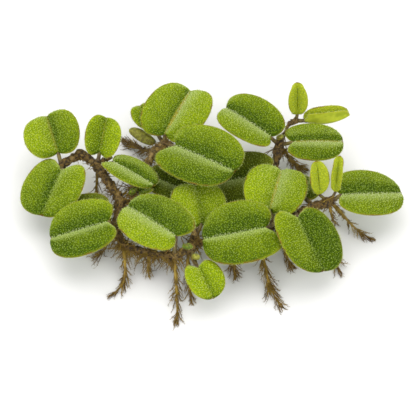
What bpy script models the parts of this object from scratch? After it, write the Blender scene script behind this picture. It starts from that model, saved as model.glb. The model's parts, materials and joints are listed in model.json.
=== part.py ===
"""Eared watermoss: a clump of floating leaves on brown rhizomes, lying on its submerged tassels.

Lengths are in millimetres and angles in degrees until an object is made, which turns them to metres.
+X is to the right, +Y to the back and +Z up. The tassels lie on the surface at Z = 0.
"""
import math
from collections import namedtuple

import bmesh
import bpy
from mathutils import Matrix, Vector

MM = 0.001

# The clump's middle, in the frame that the tables below are written in
CLUMP_MIDDLE = (1.2, -3.1)

# Leaf blade: its width at the petiole and at the tip's notch, and how full a lobe's outline is
PETIOLE_HALF_WIDTH = 0.45
TIP_HALF_WIDTH = 0.3
LOBE_ROUNDNESS = 0.88

# How far the left and the right lobe reach back beside the petiole and on past the notch at the tip,
# as shares of the blade's length. Below zero, a lobe narrows to a wedge there.
EARS = (0.15, 0.15)
TIPS = (0.07, 0.07)

# The blade folds along its midrib, less so where it is narrower than this
FOLD_FULL_HALF_WIDTH = 2.2

# Kinds of blade: (rows along it, columns on each lobe, thickness straight up)
GROWN = (8, 3, 0.6)
YOUNG = (6, 2, 0.55)

# Rhizomes: steps between two route points, and the bevel that gives eight sides
RHIZOME_STEPS = 2
RHIZOME_BEVEL = 2

# Tassels: sides round the lock, and its height as a share of its width
TASSEL_SIDES = 6
TASSEL_FLATNESS = 0.5
TASSEL_TOP = 0.7

BUD_SIDES = 8
BUD_RINGS = 5

# Room between a node and what grows from it
GROWTH_GAP = 0.35
PETIOLE_GAP = 0.6

Leaf = namedtuple(
    "Leaf",
    "name node base heading pitch roll length width fold ease bend colour kind ears tips",
    defaults=(EARS, TIPS),
)
Stem = namedtuple("Stem", "name start route end colour")
Tassel = namedtuple("Tassel", "name node route")
Bud = namedtuple("Bud", "name middle size heading pitch colour")

GREEN = (0.19, 0.27, 0.035)
BRIGHT = (0.27, 0.34, 0.04)
SHADE = (0.10, 0.14, 0.02)
LIME = (0.36, 0.42, 0.05)
BARK = (0.11, 0.075, 0.035)
TAN = (0.26, 0.20, 0.11)
ROOT = (0.20, 0.13, 0.04)
OLIVE = (0.22, 0.22, 0.05)

# Each node of the rhizomes, where leaves, tassels and side branches grow: (x, y, z, thickness)
NODES = {
    "far_left": (-37.0, 6.8, 7.8, 2.0),
    "left_fork": (-27.9, 6.6, 8.3, 2.6),
    "left": (-21.8, -6.0, 8.2, 2.2),
    "left_front": (-22.5, -13.4, 8.2, 1.9),
    "front_left": (-20.6, -18.2, 6.2, 2.0),
    "front_mid_left": (-14.4, -21.2, 6.6, 1.6),
    "front": (-8.2, -22.8, 7.2, 2.4),
    "center_front": (-4.4, -20.4, 7.2, 2.2),
    "center": (-3.4, -17.8, 7.6, 2.2),
    "back_left": (-11.2, 14.0, 8.2, 2.4),
    "back_arm": (-9.5, 11.8, 10.0, 1.4),
    "back_left_mid": (-16.8, 5.0, 7.0, 1.8),
    "left_bud": (-19.0, -1.6, 7.2, 1.7),
    "back_right": (18.2, 14.0, 8.2, 2.4),
    "right_low": (16.4, 4.4, 4.0, 1.7),
    "right": (16.6, -12.6, 8.0, 2.2),
    "front_right": (12.6, -17.4, 6.6, 1.7),
    "front_mid_right": (5.4, -19.8, 6.4, 1.6),
    "right_mid": (21.6, -10.0, 8.8, 1.8),
    "far_right_mid": (26.4, -7.4, 8.2, 1.9),
    "far_right": (30.2, -5.4, 7.8, 2.4),
    "young": (22.6, 22.0, 8.8, 1.6),
}

# Each leaf: the node it grows from, where its blade starts, which way it points, how it tilts, and its form.
# heading turns from +X towards +Y, pitch lifts the tip, roll lifts the left lobe. fold is how steeply a
# lobe rises beside the midrib, ease how much of that it loses by its rim, and bend how far the tip droops.
LEAVES = (
    Leaf(
        "leaf_far_left_back", "far_left", base=(-37.9, 9.2, 10.0), heading=107, pitch=8, roll=-14,
        length=12.5, width=14.8, fold=24, ease=32, bend=8, colour=BRIGHT, kind=GROWN,
        ears=(0.08, 0.15),
    ),
    Leaf(
        "leaf_far_left_front", "far_left", base=(-36.8, 4.0, 9.0), heading=-109, pitch=-6, roll=10,
        length=14.0, width=16.5, fold=22, ease=34, bend=6, colour=GREEN, kind=GROWN,
        ears=(0.2, 0.24), tips=(0.05, 0.03),
    ),
    Leaf(
        "leaf_left_small", "left_fork", base=(-27.4, 8.4, 11.0), heading=77, pitch=34, roll=14,
        length=9.2, width=10.0, fold=36, ease=25, bend=6, colour=BRIGHT, kind=GROWN,
        tips=(0.05, 0.0),
    ),
    Leaf(
        "leaf_left_inner", "left_fork", base=(-24.0, 5.6, 10.4), heading=-33, pitch=-4, roll=-14,
        length=12.6, width=10.6, fold=24, ease=34, bend=4, colour=GREEN, kind=GROWN,
        ears=(0.1, 0.15), tips=(0.03, 0.0),
    ),
    Leaf(
        "leaf_front_left", "left_front", base=(-24.4, -15.4, 11.5), heading=-173, pitch=-14, roll=-5,
        length=14.8, width=16.9, fold=20, ease=34, bend=6, colour=GREEN, kind=GROWN,
        tips=(0.04, 0.02),
    ),
    Leaf(
        "leaf_front_left_under", "left", base=(-25.6, -8.0, 7.2), heading=-172, pitch=-6, roll=0,
        length=12.0, width=13.0, fold=18, ease=24, bend=6, colour=SHADE, kind=GROWN,
    ),
    Leaf(
        "leaf_front_center_left", "front", base=(-7.8, -20.3, 11.6), heading=139, pitch=1, roll=2,
        length=16.0, width=17.0, fold=22, ease=34, bend=8, colour=BRIGHT, kind=GROWN,
        ears=(0.15, 0.16), tips=(0.0, 0.06),
    ),
    Leaf(
        "leaf_back_left", "back_left", base=(-11.0, 15.2, 10.3), heading=67, pitch=4, roll=-4,
        length=16.6, width=18.0, fold=26, ease=32, bend=4, colour=GREEN, kind=GROWN,
        ears=(0.12, 0.15), tips=(0.1, 0.07),
    ),
    Leaf(
        "leaf_back_left_small", "back_left", base=(-14.4, 20.2, 9.0), heading=118, pitch=8, roll=0,
        length=7.0, width=7.6, fold=12, ease=20, bend=4, colour=BRIGHT, kind=YOUNG,
    ),
    Leaf(
        "leaf_center_back", "back_arm", base=(-8.2, 9.2, 12.6), heading=-35, pitch=9, roll=8,
        length=18.0, width=18.5, fold=22, ease=34, bend=10, colour=GREEN, kind=GROWN,
        ears=(0.15, 0.18), tips=(0.04, 0.03),
    ),
    Leaf(
        "leaf_back_middle", "back_right", base=(15.9, 13.2, 11.6), heading=141, pitch=8, roll=3,
        length=14.6, width=16.2, fold=30, ease=32, bend=8, colour=GREEN, kind=GROWN,
        ears=(0.15, 0.12), tips=(0.03, 0.11),
    ),
    Leaf(
        "leaf_center_under", "right_low", base=(15.0, 4.8, 7.0), heading=-174, pitch=-6, roll=0,
        length=16.5, width=17.5, fold=16, ease=24, bend=6, colour=SHADE, kind=GROWN,
    ),
    Leaf(
        "leaf_center_right", "right", base=(15.2, -10.1, 9.8), heading=77, pitch=-1, roll=4,
        length=14.6, width=16.2, fold=28, ease=30, bend=6, colour=BRIGHT, kind=GROWN,
    ),
    Leaf(
        "leaf_right_back", "back_right", base=(21.4, 12.6, 10.4), heading=5, pitch=-3, roll=-3,
        length=13.0, width=14.0, fold=13, ease=26, bend=4, colour=GREEN, kind=GROWN,
        tips=(0.01, 0.0),
    ),
    Leaf(
        "leaf_young_back_upright", "young", base=(23.0, 22.5, 10.5), heading=92, pitch=66, roll=0,
        length=8.6, width=7.0, fold=50, ease=12, bend=4, colour=LIME, kind=YOUNG,
        ears=(-0.02, -0.02), tips=(-0.02, -0.02),
    ),
    Leaf(
        "leaf_young_back_folded", "young", base=(24.9, 21.6, 9.2), heading=4, pitch=-28, roll=-12,
        length=12.2, width=8.8, fold=74, ease=10, bend=-58, colour=LIME, kind=YOUNG,
        ears=(0.08, 0.08), tips=(0.04, 0.04),
    ),
    Leaf(
        "leaf_far_right", "far_right", base=(33.0, -4.8, 9.6), heading=13, pitch=-10, roll=0,
        length=16.2, width=15.9, fold=15, ease=22, bend=4, colour=GREEN, kind=GROWN,
        ears=(0.12, 0.12), tips=(0.0, 0.0),
    ),
    Leaf(
        "leaf_young_right_spoon", "far_right", base=(27.7, -4.7, 9.6), heading=101, pitch=58, roll=6,
        length=8.6, width=6.0, fold=42, ease=20, bend=4, colour=LIME, kind=YOUNG,
        ears=(-0.05, -0.05), tips=(0.0, 0.0),
    ),
    Leaf(
        "leaf_young_right_folded", "far_right", base=(31.7, -4.0, 9.9), heading=80, pitch=62, roll=0,
        length=9.4, width=5.0, fold=62, ease=12, bend=4, colour=LIME, kind=YOUNG,
        ears=(-0.05, -0.05), tips=(-0.02, -0.02),
    ),
    Leaf(
        "leaf_front_right", "right_mid", base=(21.8, -14.4, 12.0), heading=-64, pitch=-18, roll=-14,
        length=15.0, width=16.8, fold=22, ease=34, bend=6, colour=GREEN, kind=GROWN,
        ears=(0.15, 0.2), tips=(0.05, 0.0),
    ),
    Leaf(
        "leaf_front_center", "right", base=(14.2, -17.4, 11.6), heading=-171, pitch=-3, roll=-6,
        length=15.6, width=19.0, fold=20, ease=40, bend=6, colour=GREEN, kind=GROWN,
        ears=(0.24, 0.15), tips=(0.05, -0.02),
    ),
    Leaf(
        "leaf_center_small", "center", base=(-1.7, -13.5, 8.4), heading=97, pitch=6, roll=2,
        length=12.4, width=14.0, fold=18, ease=26, bend=4, colour=BRIGHT, kind=GROWN,
    ),
    Leaf(
        "leaf_front_small", "center_front", base=(-2.5, -26.8, 7.6), heading=-64, pitch=-16, roll=-6,
        length=8.6, width=10.2, fold=32, ease=32, bend=6, colour=BRIGHT, kind=GROWN,
        tips=(0.0, 0.0),
    ),
    Leaf(
        "leaf_bud_round", "left_bud", base=(-17.2, -2.3, 8.0), heading=20, pitch=10, roll=0,
        length=3.4, width=3.6, fold=20, ease=20, bend=4, colour=BRIGHT, kind=YOUNG,
    ),
    Leaf(
        "leaf_center_shaded", "back_left_mid", base=(-14.0, 4.6, 6.2), heading=-25, pitch=-4, roll=0,
        length=12.0, width=11.0, fold=16, ease=20, bend=4, colour=SHADE, kind=YOUNG,
    ),
    Leaf(
        "leaf_right_under", "far_right_mid", base=(23.8, -3.2, 7.2), heading=75, pitch=2, roll=0,
        length=7.0, width=8.0, fold=16, ease=20, bend=4, colour=SHADE, kind=YOUNG,
    ),
)

# Each stem: the node it starts beside, points along its middle as (x, y, z, thickness), and the node
# it ends beside
RHIZOMES = (
    Stem(
        "rhizome_far_left",
        None,
        ((-37.6, 6.2, 7.6, 1.2), NODES["far_left"], (-35.4, 8.2, 8.2, 1.8), (-33.6, 9.3, 8.6, 2.1),
         (-32.2, 9.8, 8.8, 2.3), (-30.6, 8.8, 8.6, 2.0)),
        "left_fork",
        BARK,
    ),
    Stem(
        "rhizome_left",
        None,
        ((-28.2, 7.6, 8.4, 1.8), NODES["left_fork"], (-26.9, 4.6, 8.0, 2.0), (-25.4, 2.0, 7.8, 1.9),
         (-23.4, -2.0, 8.0, 2.0), NODES["left"], (-22.3, -9.8, 8.4, 1.6), NODES["left_front"],
         (-21.8, -16.2, 7.2, 1.6), NODES["front_left"], (-20.2, -18.9, 5.9, 1.3)),
        None,
        BARK,
    ),
    Stem(
        "rhizome_left_stub",
        "left_fork",
        ((-25.4, 8.2, 9.0, 1.3), (-24.4, 8.8, 9.2, 1.2)),
        None,
        BARK,
    ),
    Stem(
        "rhizome_front_left",
        "front_left",
        ((-18.0, -19.6, 6.3, 1.5), (-16.2, -20.5, 6.5, 1.5), NODES["front_mid_left"],
         (-11.4, -22.1, 6.9, 1.6)),
        "front",
        BARK,
    ),
    Stem(
        "rhizome_center",
        None,
        ((-9.0, -23.0, 7.1, 1.6), NODES["front"], (-6.4, -21.6, 7.2, 1.9), NODES["center_front"],
         NODES["center"], (-3.3, -17.6, 9.6, 1.5), (-3.3, -17.2, 11.0, 1.3)),
        None,
        TAN,
    ),
    Stem(
        "rhizome_back_left",
        None,
        ((-10.5, 14.6, 8.3, 1.6), NODES["back_left"], (-13.2, 12.6, 7.6, 1.9), (-14.8, 9.8, 7.2, 2.1),
         NODES["back_left_mid"], (-18.2, 1.8, 7.0, 1.6), NODES["left_bud"], (-19.2, -4.8, 7.6, 1.2)),
        "left",
        TAN,
    ),
    Stem(
        "rhizome_back_left_arm",
        "back_left",
        ((-10.2, 12.8, 9.3, 1.4), NODES["back_arm"]),
        None,
        TAN,
    ),
    Stem(
        "rhizome_right",
        None,
        ((18.4, 14.8, 8.2, 1.6), NODES["back_right"], (17.6, 11.2, 7.2, 1.9), (16.8, 8.0, 5.4, 1.7),
         NODES["right_low"], (16.0, -1.0, 3.6, 1.6), (16.4, -7.4, 4.8, 1.6), (16.9, -10.6, 6.6, 1.7),
         NODES["right"], (16.6, -13.4, 8.1, 1.5)),
        None,
        BARK,
    ),
    Stem(
        "rhizome_front_right",
        "right",
        ((14.8, -14.8, 7.0, 1.5), NODES["front_right"], (9.0, -19.2, 6.6, 1.6), NODES["front_mid_right"],
         (1.6, -19.4, 6.6, 1.6)),
        "center",
        BARK,
    ),
    Stem(
        "rhizome_far_right",
        "right",
        ((19.2, -11.2, 8.8, 1.6), NODES["right_mid"], (24.0, -8.6, 8.5, 1.6), NODES["far_right_mid"],
         NODES["far_right"], (31.2, -5.0, 7.8, 1.6)),
        None,
        BARK,
    ),
    Stem(
        "rhizome_young_shoot",
        "back_right",
        ((19.6, 17.2, 8.7, 0.9), (20.6, 20.0, 8.8, 0.9), NODES["young"], (23.1, 22.3, 8.8, 1.0)),
        None,
        TAN,
    ),
)

# The rolled leaf and each bud: its middle, its length, width and height, and how it points
BUDS = (
    Bud("leaf_rolled_back_left", (-16.9, 18.2, 6.8), (7.8, 3.4, 2.8), 150, 8, OLIVE),
    Bud("bud_left", (-18.8, -3.2, 9.2), (2.0, 1.6, 1.6), 30, 20, BRIGHT),
    Bud("bud_back_left", (-12.8, 8.6, 8.2), (1.8, 1.4, 1.4), -60, 20, OLIVE),
    Bud("bud_right", (18.3, 14.6, 10.2), (1.8, 1.6, 1.5), 10, 20, OLIVE),
    Bud("bud_front", (-2.9, -24.3, 8.8), (2.0, 1.7, 1.5), -40, 10, LIME),
    Bud("bud_cap", (-5.0, -22.0, 10.0), (2.6, 1.8, 1.4), -20, 10, BRIGHT),
)

# Each tassel: the node it hangs from, and points along its middle as (x, y, z, width), out to its tip
TASSELS = (
    Tassel(
        "tassel_far_left",
        "far_left",
        ((-35.8, 5.2, 5.4, 1.8), (-34.4, 3.4, 3.0, 2.4), (-31.2, -1.2, 0.3, 1.0)),
    ),
    Tassel(
        "tassel_left",
        "left_fork",
        ((-28.1, 5.2, 5.4, 1.8), (-28.3, 3.2, 2.8, 2.8), (-28.4, -0.8, 0.4, 1.4)),
    ),
    Tassel(
        "tassel_back_left",
        "back_left",
        ((-13.4, 15.2, 5.0, 2.0), (-16.6, 17.4, 2.4, 3.2), (-19.6, 20.2, 1.3, 3.8), (-22.4, 23.4, 0.4, 2.0)),
    ),
    Tassel(
        "tassel_front_left_side",
        "left_front",
        ((-23.4, -13.8, 5.0, 1.8), (-24.8, -15.0, 2.8, 3.4), (-26.4, -16.4, 1.1, 4.0),
         (-28.8, -17.4, 0.3, 1.6)),
    ),
    Tassel(
        "tassel_front_left",
        "front_left",
        ((-20.4, -20.2, 4.2, 2.0), (-20.4, -24.6, 1.4, 3.2), (-21.4, -27.2, 0.6, 3.4),
         (-24.2, -29.6, 0.3, 1.0)),
    ),
    Tassel(
        "tassel_front_middle_left",
        "front_mid_left",
        ((-14.6, -22.0, 4.4, 4.0), (-14.6, -22.6, 2.4, 5.6), (-14.6, -23.8, 0.6, 5.0)),
    ),
    Tassel(
        "tassel_front",
        "front",
        ((-8.0, -24.6, 5.0, 2.4), (-7.7, -28.4, 2.4, 3.2), (-7.5, -34.0, 0.8, 2.8), (-7.5, -38.6, 0.3, 1.2)),
    ),
    Tassel(
        "tassel_front_branch",
        "center_front",
        ((-5.0, -22.4, 5.0, 1.8), (-4.8, -26.4, 2.2, 2.2), (-4.2, -29.6, 0.8, 2.0), (-3.8, -32.2, 0.3, 0.8)),
    ),
    Tassel(
        "tassel_front_middle",
        "front_mid_right",
        ((5.8, -20.6, 4.2, 3.4), (6.4, -22.4, 1.8, 8.0), (6.8, -24.6, 0.5, 8.0)),
    ),
    Tassel(
        "tassel_front_right",
        "front_right",
        ((13.2, -19.0, 5.2, 2.4), (14.2, -23.6, 2.8, 5.0), (15.4, -28.2, 1.1, 4.8), (17.9, -33.8, 0.3, 1.2)),
    ),
    Tassel(
        "tassel_front_right_side",
        "right",
        ((17.4, -14.0, 6.2, 1.6), (18.4, -16.2, 3.4, 2.8), (19.6, -18.4, 1.4, 3.2), (21.2, -21.0, 0.3, 1.4)),
    ),
    Tassel(
        "tassel_right_under",
        "far_right_mid",
        ((27.0, -8.8, 6.0, 1.6), (28.8, -12.4, 3.2, 2.6), (30.8, -17.4, 1.3, 4.4), (32.8, -22.8, 0.4, 4.0)),
    ),
    Tassel(
        "tassel_far_right",
        "far_right",
        ((32.2, -6.2, 6.2, 1.8), (35.4, -8.4, 3.2, 2.6), (38.4, -10.0, 1.2, 2.8), (41.2, -11.4, 0.3, 1.0)),
    ),
    Tassel(
        "tassel_far_right_short",
        "far_right",
        ((30.6, -6.6, 5.4, 1.6), (31.2, -6.8, 3.0, 2.2), (32.2, -6.4, 0.4, 1.2)),
    ),
    Tassel(
        "tassel_back_right",
        "back_right",
        ((19.8, 13.4, 6.0, 2.2), (21.4, 12.9, 3.4, 3.6), (22.8, 12.7, 1.6, 4.0), (25.4, 12.6, 0.3, 2.0)),
    ),
)


def place(point, heading=0, pitch=0, roll=0):
    """The matrix of a piece at a point in millimetres, turned by its heading, pitch and roll."""
    turn = Matrix.Rotation(math.radians(heading), 4, "Z")
    turn @= Matrix.Rotation(math.radians(-pitch), 4, "Y")
    turn @= Matrix.Rotation(math.radians(roll), 4, "X")
    middle = Vector((*CLUMP_MIDDLE, 0))
    return Matrix.Translation((Vector(point) - middle) * MM) @ turn


def beside(node, towards, gap=GROWTH_GAP):
    """The point just outside a node, on the way to another point."""
    x, y, z, thickness = NODES[node]
    middle = Vector((x, y, z))
    way = (Vector(towards[:3]) - middle).normalized()
    return middle + way * (thickness / 2 + gap)


def material(name, colour, roughness=0.6):
    """One finish, made the first time that it is asked for."""
    found = bpy.data.materials.get(name)
    if found:
        return found
    made = bpy.data.materials.new(name)
    made.use_nodes = True
    shader = made.node_tree.nodes["Principled BSDF"]
    shader.inputs["Base Color"].default_value = (*colour, 1)
    shader.inputs["Roughness"].default_value = roughness
    shader.inputs["Metallic"].default_value = 0
    return made


def add_object(name, data, colour):
    """A named object in the scene, with a finish of its own."""
    data.materials.append(material(f"{name}_finish", colour))
    piece = bpy.data.objects.new(name, data)
    bpy.context.collection.objects.link(piece)
    return piece


def shade_round(mesh):
    """Smooth shading with the sharp edges kept."""
    mesh.shade_smooth()
    mesh.set_sharp_from_angle(angle=math.radians(50))


def closed_loft(name, rings):
    """A mesh that joins rings of points one after the other, with both ends capped."""
    sides = len(rings[0])
    points = [point for ring in rings for point in ring]
    faces = [tuple(reversed(range(sides)))]
    for row in range(len(rings) - 1):
        start = row * sides
        for side in range(sides):
            following = (side + 1) % sides
            faces.append((start + side, start + following, start + sides + following, start + sides + side))
    faces.append(tuple(range(len(points) - sides, len(points))))
    mesh = bpy.data.meshes.new(name)
    mesh.from_pydata(points, [], faces)
    shade_round(mesh)
    return mesh


def blade_point(leaf, share, across):
    """A point of the blade in its own frame.

    share runs from 0 at the petiole's notch to 1 at the tip's, across from -1 at one rim to 1 at the other.
    """
    swing = math.sin(math.pi * share)
    half_width = leaf.width / 2 * swing**LOBE_ROUNDNESS
    half_width = max(half_width, PETIOLE_HALF_WIDTH + (TIP_HALF_WIDTH - PETIOLE_HALF_WIDTH) * share)
    lobe = 0 if across > 0 else 1
    reach = across * across * leaf.length * 4 * swing
    reach *= leaf.tips[lobe] * share**3 - leaf.ears[lobe] * (1 - share) ** 3

    bend = math.radians(leaf.bend)
    along = (1 - math.cos(math.pi * share)) / 2
    droop = bend * along
    midrib = Vector((math.sin(droop), 0, math.cos(droop) - 1)) * leaf.length / bend
    forward = Vector((math.cos(droop), 0, -math.sin(droop)))
    upward = Vector((math.sin(droop), 0, math.cos(droop)))

    opening = min(1, half_width / FOLD_FULL_HALF_WIDTH)
    fold, ease = math.radians(leaf.fold * opening), math.radians(leaf.ease * opening)
    slope = fold - ease * abs(across)
    aside = half_width * (math.sin(fold) - math.sin(slope)) / ease
    lift = half_width * (math.cos(slope) - math.cos(fold)) / ease
    return midrib + forward * reach + Vector((0, math.copysign(aside, across), 0)) + upward * lift


def plan_area(a, b, c):
    """Twice a triangle's area as seen from above the blade, negative where it lies face down."""
    return (b - a).xy.cross((c - a).xy)


def blade_faces(points, wide):
    """Triangles of the blade's grid, each cell split so that both of its triangles lie face up."""
    faces = []
    for near in range(len(points) - wide):
        if near % wide == wide - 1:
            continue
        far = near + wide
        splits = (
            ((near, far, far + 1), (near, far + 1, near + 1)),
            ((near, far, near + 1), (far, far + 1, near + 1)),
        )
        faces += max(splits, key=lambda split: min(plan_area(*(points[i] for i in face)) for face in split))
    return faces


def extrude_up(mesh, height):
    """Turns an open sheet into a closed solid of one height."""
    sheet = bmesh.new()
    sheet.from_mesh(mesh)
    raised = bmesh.ops.extrude_face_region(sheet, geom=sheet.faces[:], use_keep_orig=True)
    corners = [part for part in raised["geom"] if isinstance(part, bmesh.types.BMVert)]
    bmesh.ops.translate(sheet, verts=corners, vec=(0, 0, height * MM))
    bmesh.ops.recalc_face_normals(sheet, faces=sheet.faces)
    sheet.to_mesh(mesh)
    sheet.free()


def add_leaf(leaf):
    """A folded blade with its short petiole, extruded straight up from its underside."""
    rows, columns, thickness = leaf.kind
    shares_across = [column / columns for column in range(-columns, columns + 1)]
    where = place(leaf.base, leaf.heading, leaf.pitch, leaf.roll)
    foot = where.inverted() @ place(beside(leaf.node, leaf.base, PETIOLE_GAP)).translation / MM
    points = [foot + Vector((0, PETIOLE_HALF_WIDTH * across, 0)) for across in shares_across]
    for row in range(rows + 1):
        points += [blade_point(leaf, row / rows, across) for across in shares_across]
    faces = blade_faces(points, len(shares_across))
    mesh = bpy.data.meshes.new(leaf.name)
    underside = Vector((0, 0, -thickness / 2))
    mesh.from_pydata([(point + underside) * MM for point in points], [], faces)
    extrude_up(mesh, thickness)
    shade_round(mesh)
    piece = add_object(leaf.name, mesh, leaf.colour)
    piece.matrix_world = where
    return piece


def smooth_route(route, steps):
    """Points on one smooth curve through the route's own points."""
    padded = [route[0], *route, route[-1]]
    smooth = []
    for before, start, end, after in zip(padded, padded[1:], padded[2:], padded[3:]):
        for step in range(steps):
            s = step / steps
            shares = (-s + 2 * s**2 - s**3, 2 - 5 * s**2 + 3 * s**3, s + 4 * s**2 - 3 * s**3, s**3 - s**2)
            smooth.append([
                sum(share * value for share, value in zip(shares, values)) / 2
                for values in zip(before, start, end, after)
            ])
    smooth.append(list(route[-1]))
    return smooth


def add_rhizome(stem):
    """A round stem whose thickness follows its route."""
    route = list(stem.route)
    if stem.start:
        route.insert(0, (*beside(stem.start, route[0]), route[0][3]))
    if stem.end:
        route.append((*beside(stem.end, route[-1]), route[-1][3]))
    route = smooth_route(route, RHIZOME_STEPS)
    curve = bpy.data.curves.new(stem.name, "CURVE")
    curve.dimensions = "3D"
    curve.bevel_depth = MM / 2
    curve.bevel_resolution = RHIZOME_BEVEL
    curve.use_fill_caps = True
    spline = curve.splines.new("POLY")
    spline.points.add(len(route) - 1)
    for point, (x, y, z, thickness) in zip(spline.points, route):
        point.co = (x * MM, y * MM, z * MM, 1)
        point.radius = thickness
    piece = add_object(stem.name, curve, stem.colour)
    piece.matrix_world = place((0, 0, 0))
    return piece


def add_bud(bud):
    """An egg-shaped bud of stacked rings."""
    length, width, height = bud.size
    rings = []
    for step in range(1, BUD_RINGS + 1):
        turn = math.pi * step / (BUD_RINGS + 1)
        x = -length / 2 * math.cos(turn)
        ring = []
        for side in range(BUD_SIDES):
            angle = 2 * math.pi * side / BUD_SIDES
            y = width / 2 * math.sin(turn) * math.cos(angle)
            z = height / 2 * math.sin(turn) * math.sin(angle)
            ring.append(Vector((x, y, z)) * MM)
        rings.append(ring)
    piece = add_object(bud.name, closed_loft(bud.name, rings), bud.colour)
    piece.matrix_world = place(bud.middle, bud.heading, bud.pitch)
    return piece


def add_tassel(tassel):
    """A flattened lock that hangs from its node and lies along the surface to its tip."""
    top = (*beside(tassel.node, tassel.route[0]), tassel.route[0][3] * TASSEL_TOP)
    route = [top, *tassel.route]
    points = [Vector(point[:3]) for point in route]
    span = points[-1] - points[0]
    aside = Vector((-span.y, span.x, 0)).normalized()
    rings = []
    for index, (point, (_, _, _, width)) in enumerate(zip(points, route)):
        before, after = points[max(index - 1, 0)], points[min(index + 1, len(points) - 1)]
        upward = (after - before).normalized().cross(aside)
        ring = []
        for side in range(TASSEL_SIDES):
            angle = 2 * math.pi * side / TASSEL_SIDES
            corner = point + aside * width / 2 * math.cos(angle)
            corner += upward * width / 2 * TASSEL_FLATNESS * math.sin(angle)
            corner.z = max(corner.z, 0)
            ring.append(corner * MM)
        rings.append(ring)
    piece = add_object(tassel.name, closed_loft(tassel.name, rings), ROOT)
    piece.matrix_world = place((0, 0, 0))
    return piece


def main():
    for old in list(bpy.data.objects):
        bpy.data.objects.remove(old)
    pieces = [add_leaf(leaf) for leaf in LEAVES]
    pieces += [add_rhizome(stem) for stem in RHIZOMES]
    pieces += [add_bud(bud) for bud in BUDS]
    pieces += [add_tassel(tassel) for tassel in TASSELS]
    clump = bpy.data.objects.new("clump", None)
    bpy.context.collection.objects.link(clump)
    for piece in pieces:
        piece.parent = clump


main()
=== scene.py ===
"""Eared watermoss: hairy folded leaves on brown rhizomes, lying on feathery brown tassels.

Lengths are in millimetres and angles in degrees until a mesh is made, which turns them to metres.
"""

import json
import math
import random
from collections import namedtuple

import bpy
import numpy as np
from mathutils import Matrix, Vector, noise


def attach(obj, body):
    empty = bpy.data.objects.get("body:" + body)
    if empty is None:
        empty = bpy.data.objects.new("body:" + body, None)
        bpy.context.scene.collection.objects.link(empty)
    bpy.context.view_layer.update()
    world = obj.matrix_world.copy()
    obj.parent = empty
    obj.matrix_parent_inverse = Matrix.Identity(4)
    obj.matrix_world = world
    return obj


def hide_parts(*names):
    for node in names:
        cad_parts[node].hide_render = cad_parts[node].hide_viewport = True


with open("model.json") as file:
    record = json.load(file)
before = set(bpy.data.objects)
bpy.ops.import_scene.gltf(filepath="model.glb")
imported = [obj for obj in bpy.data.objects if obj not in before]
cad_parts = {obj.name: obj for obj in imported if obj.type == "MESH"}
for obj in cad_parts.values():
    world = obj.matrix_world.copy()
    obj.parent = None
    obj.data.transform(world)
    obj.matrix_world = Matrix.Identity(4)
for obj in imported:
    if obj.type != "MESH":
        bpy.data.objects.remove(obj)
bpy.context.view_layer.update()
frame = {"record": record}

MM = 0.001
CLUMP_MIDDLE = (1.2, -3.1)

# Camera: what it looks at and where from, as in the photograph
LOOKED_AT = (-1.2, -1.9, 5.0)
CAMERA_DISTANCE = 500
CAMERA_ELEVATION = 48
VIEW_WIDTH = 104

# Lamps: each one's name, its direction round the clump and its height in degrees, its distance and its
# width in metres, its power in watts and its colour
LAMPS = (
    ("key", 178, 68, 0.9, 1.3, 7.6, (1.0, 0.985, 0.95)),
    ("fill", 35, 28, 1.0, 0.9, 5.0, (1.0, 1.0, 1.0)),
    ("left_fill", -50, 24, 1.0, 0.9, 6.0, (1.0, 1.0, 1.0)),
)
DAYLIGHT = 0.75

# The surface that the clump lies on: half its side in metres, how far it is below the clump, its colour
FLOOR_HALF_SIZE = 2.5
FLOOR_DROP = 0.02
FLOOR_COLOUR = (0.76, 0.76, 0.757)

# Blade outline and fold, the same as the solids': ears and tips are those of the left and the right lobe
PETIOLE_HALF_WIDTH = 0.45
TIP_HALF_WIDTH = 0.3
EARS = (0.15, 0.15)
TIPS = (0.07, 0.07)
LOBE_ROUNDNESS = 0.88
FOLD_FULL_HALF_WIDTH = 2.2

# Blade surface
BLADE_ROWS = 40
LOBE_COLUMNS = 16
LOBE_PUFF = 0.42
CREASE_WIDTH = 1.0
CREASE_ROUNDING = 0.7
UNDER_DEPTH = 0.2
RIM_THICKNESS = 0.07
KEEL_DEPTH = 0.28
RIPPLE = 0.13
# Width of the pale felted band beside the crease, which is partly a painted highlight
FELT_AND_HIGHLIGHT_WIDTH = 3.0

# The side that the key lamp shines from, and how much paler the slopes that face it are painted: painted
# light
KEY_LIGHT_SIDE = (0.0, 1.0, 0.0)
SLOPE_PAINTED_LIGHT = 1.0
LOBE_BLEND = 1.2
# Painted shade beside the crease, on slopes turned away from the key lamp's side: its width and depth
CREASE_SHADE_WIDTH = 2.0
CREASE_SHADE_DEPTH = 0.45
# How much paler the rims are painted: a painted highlight where the lobes curve over
RIM_PAINTED_HIGHLIGHT = 0.15

# Hairs on the upper side: whisks of four arms on a short stalk, in rows that sweep towards the tip
WHISK_SPACING = 0.5
WHISK_HEIGHT = 0.4
WHISK_LEAN = 0.4
WHISK_BULGE = 0.26
WHISK_ARMS = 4
ARM_WIDTH = 0.055
STALK_WIDTH = 0.11
THREAD_SIDES = 3
VEIN_SWEEP = 0.14
RIM_HAIR_SPACING = 0.22
RIM_HAIR_LENGTH = 0.42

# Rhizomes
BARK_SIDES = 16
BARK_STEP = 0.3
KNOB_SIZE = 1.2
KNOB_DEPTH = 0.3
SCALES_AT_NODE = 9

# Buds and the rolled leaf
BUD_RINGS = 14
BUD_SIDES = 18
FURROW_DEPTH = 0.16
BUD_HAIRS = 90

# Branches of tassels and rootlets of rhizomes, with their bristles
AXIS_SIDES = 8
SPRAY_SPACING = 0.21
SPRAY_POINTS = 6
SPRAY_WIDTH = 0.33
BRISTLES = 10
BRISTLE_LENGTH = 0.72
BRISTLE_WIDTH = 0.13
LOWEST_THREAD = 0.06

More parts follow.
